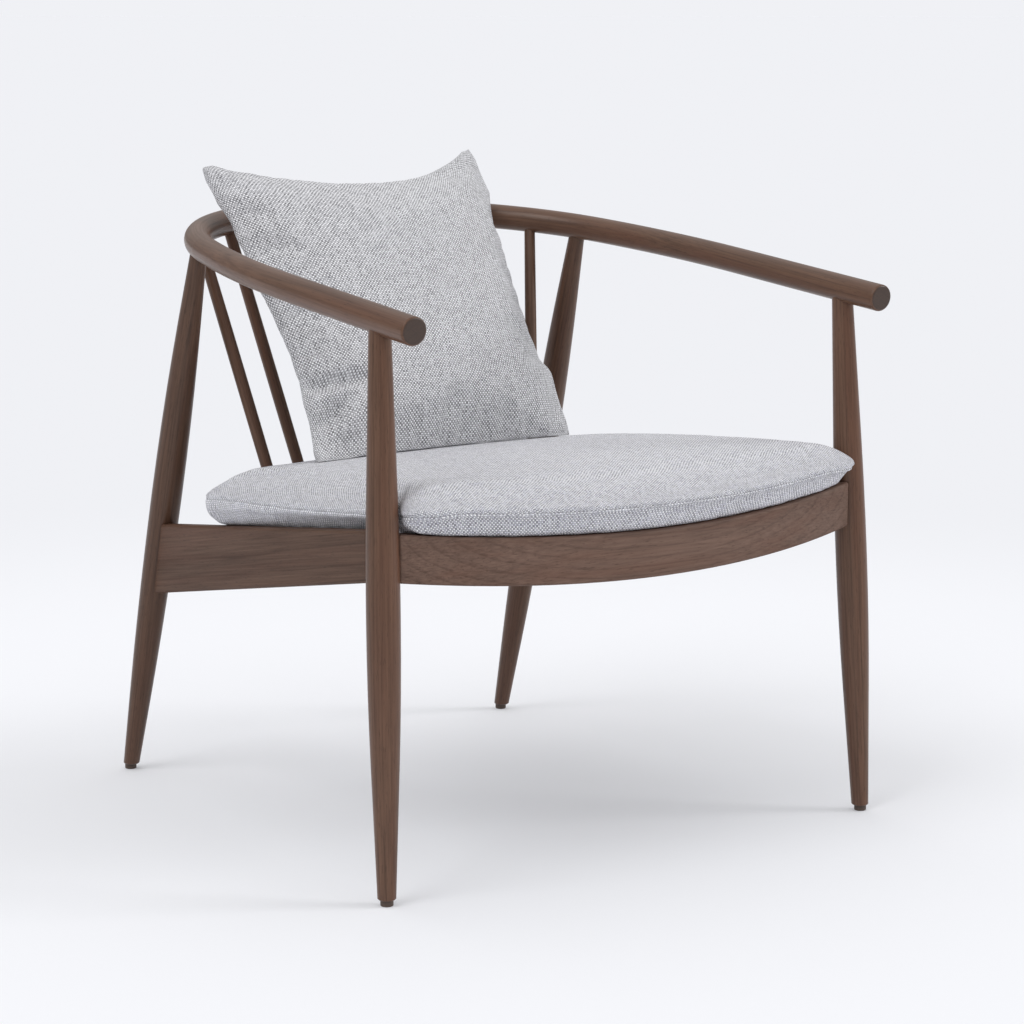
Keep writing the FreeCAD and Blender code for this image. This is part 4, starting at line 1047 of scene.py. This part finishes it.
    def _press_seam(self, pad: bpy.types.Object) -> None:
        """Pulls the cloth in along the seam.

        Args:
            pad: the cushion.
        """
        points = positions(pad.data)
        normals = point_normals(pad.data)
        off = np.abs(points[:, 2] - self.seam_height(points))
        steep = smoothstep(np.hypot(normals[:, 0], normals[:, 1]), *self.steep)
        pull = (1.0 - smoothstep(off, 0.0, self.seam_reach)) * steep
        place(pad.data, points - normals * (pull * self.seam_depth)[:, None])

    def _seam_path(self, pad: bpy.types.Object) -> list[Vector]:
        """Finds the seam's line on the cushion's side.

        Args:
            pad: the cushion.
        Returns:
            The points of the loop.
        """
        tree = rays_at(pad)
        centre = Vector((0.0, (self.front_y + self.back_y) / 2.0, 0.0))
        path, steps = [], 900
        for step in range(steps):
            angle = math.tau * step / steps
            out = Vector((math.cos(angle), math.sin(angle), 0.0))
            spot = centre + out * 0.25
            for _ in range(4):
                level = float(self.seam_height(np.array([spot]))[0])
                hit = tree.ray_cast(Vector((centre.x, centre.y, level)) + out * 0.6, -out)[0]
                if hit is None:
                    break
                spot = hit
            if hit is not None:
                path.append(hit.copy())
        return path

    def _map_weave(self, pad: bpy.types.Object) -> None:
        """Lays the weave over the cushion, so that it turns down its sides without a stretch.

        Args:
            pad: the cushion.
        """
        points = positions(pad.data)
        even = pad.data.copy()
        relax(even, 30)
        normals = point_normals(even)
        bpy.data.meshes.remove(even)
        top = self.rail_top - self.seat_fall * (points[:, 1] - self.rail_front_y) + self.weave_top
        drop = np.maximum(top - points[:, 2], 0.0)
        wrapped = points[:, :2] + normals[:, :2] * drop[:, None]
        # Below the seam a second panel runs round the side; its length is measured along the seam.
        level = self.seam_height(points)
        loop_points = np.array([tuple(p) for p in self._seam_path(pad)])
        middle_y = (self.front_y + self.back_y) / 2.0
        turn = np.arctan2(loop_points[:, 0], -(loop_points[:, 1] - middle_y))
        order = np.argsort(turn)
        steps = np.linalg.norm(np.diff(loop_points[order], axis=0), axis=1)
        run = np.concatenate(([0.0], np.cumsum(steps)))
        round_side = np.interp(np.arctan2(points[:, 0], -(points[:, 1] - middle_y)), turn[order], run)
        panel = np.stack((round_side, points[:, 2] - level), axis=1)
        layer = pad.data.uv_layers.new(name=WEAVE_MAP)
        for face in pad.data.polygons:
            ring = list(face.vertices)
            if face.normal.z < UNDERSIDE:
                source = points
            elif float(np.mean(points[ring, 2] - level[ring])) < 0.0 and np.ptp(round_side[ring]) < 0.05:
                source = panel
            else:
                source = wrapped
            for loop in face.loop_indices:
                layer.data[loop].uv = source[pad.data.loops[loop].vertex_index, :2]


def curve_through(points: tuple[Band, ...], count: int) -> np.ndarray:
    """Runs a smooth curve through points and spreads samples evenly along it.

    Args:
        points: the points in order.
        count: how many samples.
    Returns:
        Rows of the sampled curve.
    """
    given = np.array(points)
    framed = np.vstack((2.0 * given[0] - given[1], given, 2.0 * given[-1] - given[-2]))
    line = []
    for i in range(len(given) - 1):
        a, b, c, d = framed[i : i + 4]
        for step in range(24):
            t = step / 24.0
            square, cube = 2.0 * a - 5.0 * b + 4.0 * c - d, 3.0 * (b - c) + d - a
            line.append(0.5 * (2.0 * b + (c - a) * t + square * t**2 + cube * t**3))
    line.append(given[-1])
    line = np.array(line)
    length = np.concatenate(([0.0], np.cumsum(np.linalg.norm(np.diff(line, axis=0), axis=1))))
    wanted = np.linspace(0.0, length[-1], count)
    return np.stack([np.interp(wanted, length, line[:, k]) for k in (0, 1)], axis=1)


@dataclass(frozen=True)
class Crease:
    """A dent or a soft fold on the cushion's front, from one place on its plane to another."""

    start: Band
    end: Band
    depth: float
    width: float

    def push(self, across: np.ndarray, along: np.ndarray) -> np.ndarray:
        """Gives how far each point goes in.

        Args:
            across: places to the right on the cushion's plane.
            along: places up it.
        Returns:
            The depth of the crease there.
        """
        first, last = np.array(self.start), np.array(self.end)
        run = last - first
        spots = np.stack((across, along), axis=1) - first
        share = np.clip(spots @ run / (run @ run), 0.0, 1.0)
        off = np.linalg.norm(spots - share[:, None] * run, axis=1)
        fade = 0.35 + 0.65 * np.sin(np.pi * np.clip(share, 0.02, 0.98)) ** 0.5
        return self.depth * np.exp(-((off / self.width) ** 2)) * fade


@dataclass
class BackCushion:
    """The loose scatter cushion: two squares of cloth sewn round the edge, pulled out at its corners.

    Its edges are given on its own plane, to the right and up from its middle. They curve in between the
    corners because the filling draws them in.
    """

    body: str = "back_cushion_body"
    top: tuple[Band, ...] = (
        (-0.2135, 0.2135), (-0.1860, 0.2075), (-0.1189, 0.1905), (-0.0190, 0.1765),
        (0.0600, 0.1735), (0.1300, 0.1790), (0.1988, 0.2010), (0.2450, 0.2270),
    )
    right: tuple[Band, ...] = (
        (0.2010, -0.2165), (0.1975, -0.1746), (0.2000, -0.1250), (0.1940, -0.0980),
        (0.2035, -0.0298), (0.2230, 0.0926), (0.2385, 0.1750), (0.2450, 0.2270),
    )
    bottom: tuple[Band, ...] = (
        (-0.2268, -0.2145), (-0.1492, -0.2150), (-0.0196, -0.2190), (0.1157, -0.2175),
        (0.2010, -0.2165),
    )
    left: tuple[Band, ...] = (
        (-0.2268, -0.2145), (-0.2130, -0.1750), (-0.1985, -0.1000), (-0.1940, -0.0429),
        (-0.1965, 0.0255), (-0.2010, 0.1400), (-0.2135, 0.2135),
    )
    faces_across: int = 84
    crown: float = 0.049
    edge: float = 0.0022
    fullness: float = 2.5
    ease: float = 0.62
    stretch: ClothStretch = ClothStretch(pressure=3.0, slack=0.022, cap=0.0075)
    creases: tuple[Crease, ...] = (
        Crease((-0.222, -0.112), (-0.110, -0.126), 0.0170, 0.009),
        Crease((-0.222, -0.180), (-0.140, -0.138), 0.0140, 0.010),
        Crease((-0.190, -0.192), (-0.085, -0.176), 0.0035, 0.013),
        Crease((0.075, 0.165), (0.110, 0.040), 0.0016, 0.006),
        Crease((0.150, 0.150), (0.165, 0.010), 0.0014, 0.007),
        Crease((0.210, -0.112), (0.150, -0.116), 0.0040, 0.010),
        Crease((-0.120, 0.170), (-0.085, 0.080), 0.0015, 0.008),
    )
    crease_limit: float = 0.85  # a crease takes at most this share of the filling's depth
    corner_rounds: tuple[tuple[float, int], ...] = ((0.022, 8), (0.013, 10))  # reach, and how often
    # Its foot, measured down from its middle, presses down and rests on the seat.
    foot_reach: float = 0.13
    foot_in: Band = (0.15, 0.215)
    foot_drop: float = 0.010
    sink: float = 0.0008

    def _axes(self) -> tuple[np.ndarray, np.ndarray, np.ndarray, np.ndarray]:
        """Finds the cushion's own plane from its CAD solid.

        Returns:
            Its middle, and unit vectors to the right, up along it and out of its front.
        """
        points = positions(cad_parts["back_cushion"].data)
        middle = (points.min(axis=0) + points.max(axis=0)) / 2.0
        _, _, rows = np.linalg.svd(points - points.mean(axis=0), full_matrices=False)
        out = rows[2] * (1.0 if rows[2][1] < 0.0 else -1.0)
        up = np.array((0.0, 0.0, 1.0)) - out * out[2]
        up /= np.linalg.norm(up)
        right = np.cross(up, out)
        return middle, right * (1.0 if right[0] > 0.0 else -1.0), up, out

    def build(self, seat: bpy.types.Object) -> None:
        """Builds the cushion.

        Args:
            seat: the seat cushion that it stands on.
        """
        middle, right, up, out = self._axes()
        pad = self._sewn_squares(middle, right, up, out)
        depth = np.abs((positions(pad.data) - middle) @ out)
        held = 1.0 - smoothstep(depth, self.edge + 0.001, self.edge + 0.006)
        self.stretch.swell(pad, held)
        self._blunt_corners(pad, middle, right, up)
        points = positions(pad.data)
        across, along, depth = ((points - middle) @ axis for axis in (right, up, out))
        push = sum(crease.push(across, along) for crease in self.creases)
        push = np.minimum(push, self.crease_limit * np.maximum(depth, 0.0))
        points = points - out * push[:, None]
        place(pad.data, points)
        self._stand_on(pad, seat, middle, up)
        subdivided(pad)
        pad.data.materials.append(HopsackFinish("hopsack_melange_grey_scatter").build())
        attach(pad, self.body)
        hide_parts("back_cushion")
        LOG.info("%s: %d faces", pad.name, len(pad.data.polygons))

    def _blunt_corners(
        self, pad: bpy.types.Object, middle: np.ndarray, right: np.ndarray, up: np.ndarray
    ) -> None:
        """Rounds the four corners, where the turned seam is too thick to come to a point.

        Args:
            pad: the cushion.
            middle: the middle of its plane.
            right: its direction to the right.
            up: its direction upwards.
        """
        work = bmesh.new()
        work.from_mesh(pad.data)
        corners = (self.top[0], self.top[-1], self.bottom[0], self.bottom[-1])
        tips = [Vector(middle + a * right + b * up) for a, b in corners]
        for reach, rounds in self.corner_rounds:
            near = [v for v in work.verts if min((v.co - tip).length for tip in tips) < reach]
            for _ in range(rounds):
                bmesh.ops.smooth_vert(work, verts=near, **HALF_WAY)
        work.to_mesh(pad.data)
        work.free()
        pad.data.update()

    def _sewn_squares(
        self, middle: np.ndarray, right: np.ndarray, up: np.ndarray, out: np.ndarray
    ) -> bpy.types.Object:
        """Makes the two faces of the cover, joined along the seam, with the weave laid on them.

        Args:
            middle: the middle of the cushion's plane.
            right: its direction to the right.
            up: its direction upwards.
            out: its direction to the front.
        Returns:
            The cover.
        """
        count = self.faces_across + 1
        sides = {"top": self.top, "bottom": self.bottom, "left": self.left, "right": self.right}
        edges = {name: curve_through(points, count) for name, points in sides.items()}
        share = np.linspace(0.0, 1.0, count)
        s, t = np.meshgrid(share, share, indexing="ij")
        s3, t3 = s[..., None], t[..., None]
        flat = (
            (1.0 - t3) * edges["bottom"][:, None]
            + t3 * edges["top"][:, None]
            + (1.0 - s3) * edges["left"][None]
            + s3 * edges["right"][None]
            - (1.0 - s3) * (1.0 - t3) * edges["bottom"][0]
            - s3 * (1.0 - t3) * edges["bottom"][-1]
            - (1.0 - s3) * t3 * edges["top"][0]
            - s3 * t3 * edges["top"][-1]
        )
        across, along = (1.0 - np.abs(2.0 * way - 1.0) ** self.fullness for way in (s, t))
        dome = across * along
        depth = self.edge + self.crown * np.maximum(dome, 0.0) ** self.ease
        on_seam = (s == 0.0) | (s == 1.0) | (t == 0.0) | (t == 1.0)
        depth[on_seam] = 0.0
        base = middle + flat[..., 0:1] * right + flat[..., 1:2] * up
        number = np.arange(count * count).reshape(count, count)
        back_number = number + count * count
        back_number[on_seam] = number[on_seam]
        front, back = base + depth[..., None] * out, base - depth[..., None] * out
        points = np.vstack((front.reshape(-1, 3), back.reshape(-1, 3)))
        # Cloth is measured along the dome, so the yarns lie evenly over it.
        half = count // 2
        run_u = np.concatenate(([0.0], np.cumsum(np.linalg.norm(np.diff(front[:, half], axis=0), axis=1))))
        run_v = np.concatenate(([0.0], np.cumsum(np.linalg.norm(np.diff(front[half], axis=0), axis=1))))
        faces, places = [], []
        for i in range(count - 1):
            for j in range(count - 1):
                ring = ((i, j), (i + 1, j), (i + 1, j + 1), (i, j + 1))
                faces.append([int(number[k]) for k in ring])
                places.append(ring)
                faces.append([int(back_number[k]) for k in reversed(ring)])
                places.append(ring[::-1])
        mesh = bpy.data.meshes.new("scatter_pad")
        mesh.from_pydata(points.tolist(), [], faces)
        layer = mesh.uv_layers.new(name=WEAVE_MAP)
        flat_uv = [(float(run_u[i]), float(run_v[j])) for ring in places for i, j in ring]
        layer.data.foreach_set("uv", np.array(flat_uv).ravel())
        work = bmesh.new()
        work.from_mesh(mesh)
        loose = [v for v in work.verts if not v.link_faces]
        bmesh.ops.delete(work, geom=loose, context="VERTS")
        bmesh.ops.recalc_face_normals(work, faces=work.faces)
        work.to_mesh(mesh)
        work.free()
        return link_object("scatter_pad", mesh)

    def _stand_on(
        self, pad: bpy.types.Object, seat: bpy.types.Object, middle: np.ndarray, up: np.ndarray
    ) -> None:
        """Lets the cushion's foot settle on the seat cushion, flat where it rests.

        Args:
            pad: the scatter cushion.
            seat: the seat cushion.
            middle: the middle of the scatter cushion's plane.
            up: the direction up along it.
        """
        tree = rays_at(seat)
        points = positions(pad.data)
        along = (points - middle) @ up
        foot = along < -self.foot_reach
        for index in np.nonzero(foot)[0]:
            spot = points[index]
            hit = tree.ray_cast(Vector((spot[0], spot[1], 1.0)), DOWN)[0]
            if hit is None:
                continue
            floor = hit.z + self.sink
            lowered = spot[2] - self.foot_drop * float(smoothstep(-along[index : index + 1], *self.foot_in)[0])
            points[index, 2] = max(lowered, floor)
        place(pad.data, points)


@dataclass(frozen=True)
class Lamp:
    """A sun with a wide disc, so that its shadows are soft everywhere."""

    name: str
    toward: Point
    strength: float
    disc: float

    def hang(self) -> None:
        """Puts the lamp into the scene."""
        lamp = bpy.data.lights.new(self.name, "SUN")
        lamp.energy = self.strength
        lamp.angle = self.disc
        holder = bpy.data.objects.new(self.name, lamp)
        holder.rotation_euler = Vector(self.toward).to_track_quat("Z", "Y").to_euler()
        bpy.context.scene.collection.objects.link(holder)


@dataclass
class Studio:
    """A pale floor without an edge, an even sky and two broad soft lights, from the left and the right."""

    floor_colour: str = "#e5e6ea"
    painted_pool_colour: str = "#eeeff3"
    sky_colour: str = "#f0f1f5"
    floor_half: float = 400.0
    floor_height: float = -0.0002  # a touch under the glides, so that the faces don't fight
    pool: Band = (0.9, 2.4)  # the painted pool of light round the chair fades out between these distances
    shadow_share: float = 0.76
    sky_strength: float = 1.08
    wall_strength: float = 0.30
    lamps: tuple[Lamp, ...] = (
        Lamp("left_softbox", (-1.0, -0.12, 1.05), 0.80, math.radians(34.0)),
        Lamp("right_softbox", (0.92, -0.65, 0.60), 0.94, math.radians(20.0)),
    )
    eye: Point = (-2.0357, -2.94566, 0.9641)
    yaw: float = -0.6165
    pitch: float = 0.1678
    roll: float = 0.0022
    lens: float = 104.07

    def build(self) -> None:
        """Builds the floor, the light and the camera."""
        self._floor()
        self._sky()
        for lamp in self.lamps:
            lamp.hang()
        self._camera()

    def _floor(self) -> None:
        """Lays the floor."""
        half = self.floor_half
        mesh = bpy.data.meshes.new("studio_floor")
        square = ((-half, -half), (half, -half), (half, half), (-half, half))
        corners = [(x, y, self.floor_height) for x, y in square]
        mesh.from_pydata(corners, [], [(0, 1, 2, 3)])
        floor = link_object("studio_floor", mesh)
        material, tree = new_material("studio_floor_matt_paint")
        # Painted light: the floor's colour is a little brighter round the chair, as a pool of light from the
        # softboxes.
        spot = add_node(tree, "TexCoord", out="Object")
        away = add_node(tree, "VectorMath", {0: spot}, out="Value", operation="LENGTH")
        pool = {"Value": away, "From Min": self.pool[0], "From Max": self.pool[1]}
        far = add_node(tree, "MapRange", pool, interpolation_type="SMOOTHSTEP")
        coat = add_node(
            tree,
            "Mix",
            {0: far, 6: linear(self.painted_pool_colour), 7: linear(self.floor_colour)},
            out=2,
            data_type="RGBA",
        )
        shader = add_node(
            tree, "BsdfPrincipled", {"Base Color": coat, "Roughness": 1.0, "Specular IOR Level": 0.0}
        )
        # The photograph's floor is bright, so the camera and glossy rays see a part of it glow by itself.
        bright = add_node(tree, "Emission", {0: coat, 1: 1.0})
        path = add_node(tree, "LightPath", out=None)
        seen = add_node(tree, "Math", {0: path["Is Camera Ray"], 1: path["Is Glossy Ray"]}, operation="MAXIMUM")
        seen = add_node(tree, "Math", {0: seen, 1: path["Is Transmission Ray"]}, operation="MAXIMUM")
        share = add_node(tree, "Math", {0: seen, 1: 1.0 - self.shadow_share}, operation="MULTIPLY")
        both = add_node(tree, "MixShader", {0: share, 1: shader, 2: bright})
        add_node(tree, "OutputMaterial", {"Surface": both}, out=None)
        mesh.materials.append(material)

    def _sky(self) -> None:
        """Sets the even light from all round, and the backdrop that the camera sees."""
        world = bpy.data.worlds.new("studio_sky")
        world.use_nodes = True
        tree = world.node_tree
        tree.nodes.clear()
        # The ceiling is brighter than the walls, which gives round rods their shading.
        toward = add_node(tree, "TexCoord", out="Generated")
        height = add_node(tree, "SeparateXYZ", {0: toward}, out=2)
        level = add_node(
            tree, "MapRange", {"Value": height, "To Min": self.wall_strength, "To Max": self.sky_strength}
        )
        light = add_node(tree, "Background", {0: linear("#ffffff"), 1: level})
        seen = add_node(tree, "Background", {0: linear(self.sky_colour), 1: 1.0})
        path = add_node(tree, "LightPath", out=None)
        mirror = add_node(
            tree, "Math", {0: path["Is Camera Ray"], 1: path["Is Transmission Ray"]}, operation="MAXIMUM"
        )
        mixed = add_node(tree, "MixShader", {0: mirror, 1: light, 2: seen})
        add_node(tree, "OutputWorld", {"Surface": mixed}, out=None)
        bpy.context.scene.world = world

    def _camera(self) -> None:
        """Sets the camera where the photograph was taken from."""
        lens = bpy.data.cameras.new("photo_camera")
        lens.lens = self.lens
        lens.sensor_width = 36.0
        lens.clip_end = 1000.0
        forward = Vector(
            (
                -math.sin(self.yaw) * math.cos(self.pitch),
                math.cos(self.yaw) * math.cos(self.pitch),
                -math.sin(self.pitch),
            )
        )
        right = forward.cross(Vector((0.0, 0.0, 1.0))).normalized()
        up = right.cross(forward)
        cos, sin = math.cos(self.roll), math.sin(self.roll)
        level = right * cos + up * sin
        upright = up * cos - right * sin
        turn = Matrix((level, upright, -forward)).transposed()
        camera = bpy.data.objects.new("photo_camera", lens)
        camera.matrix_world = Matrix.Translation(self.eye) @ turn.to_4x4()
        bpy.context.scene.collection.objects.link(camera)
        bpy.context.scene.camera = camera


def main() -> None:
    """Builds the studio and the chair."""
    logging.basicConfig(level=logging.INFO, format="%(name)s %(message)s")
    bpy.context.scene.view_settings.view_transform = "Standard"
    Studio().build()
    WoodenFrame().dress()
    Glides().dress()
    SeatWebbing().build()
    seat = SeatCushion().build()
    BackCushion().build(seat)


if __name__ == "__main__":
    main()
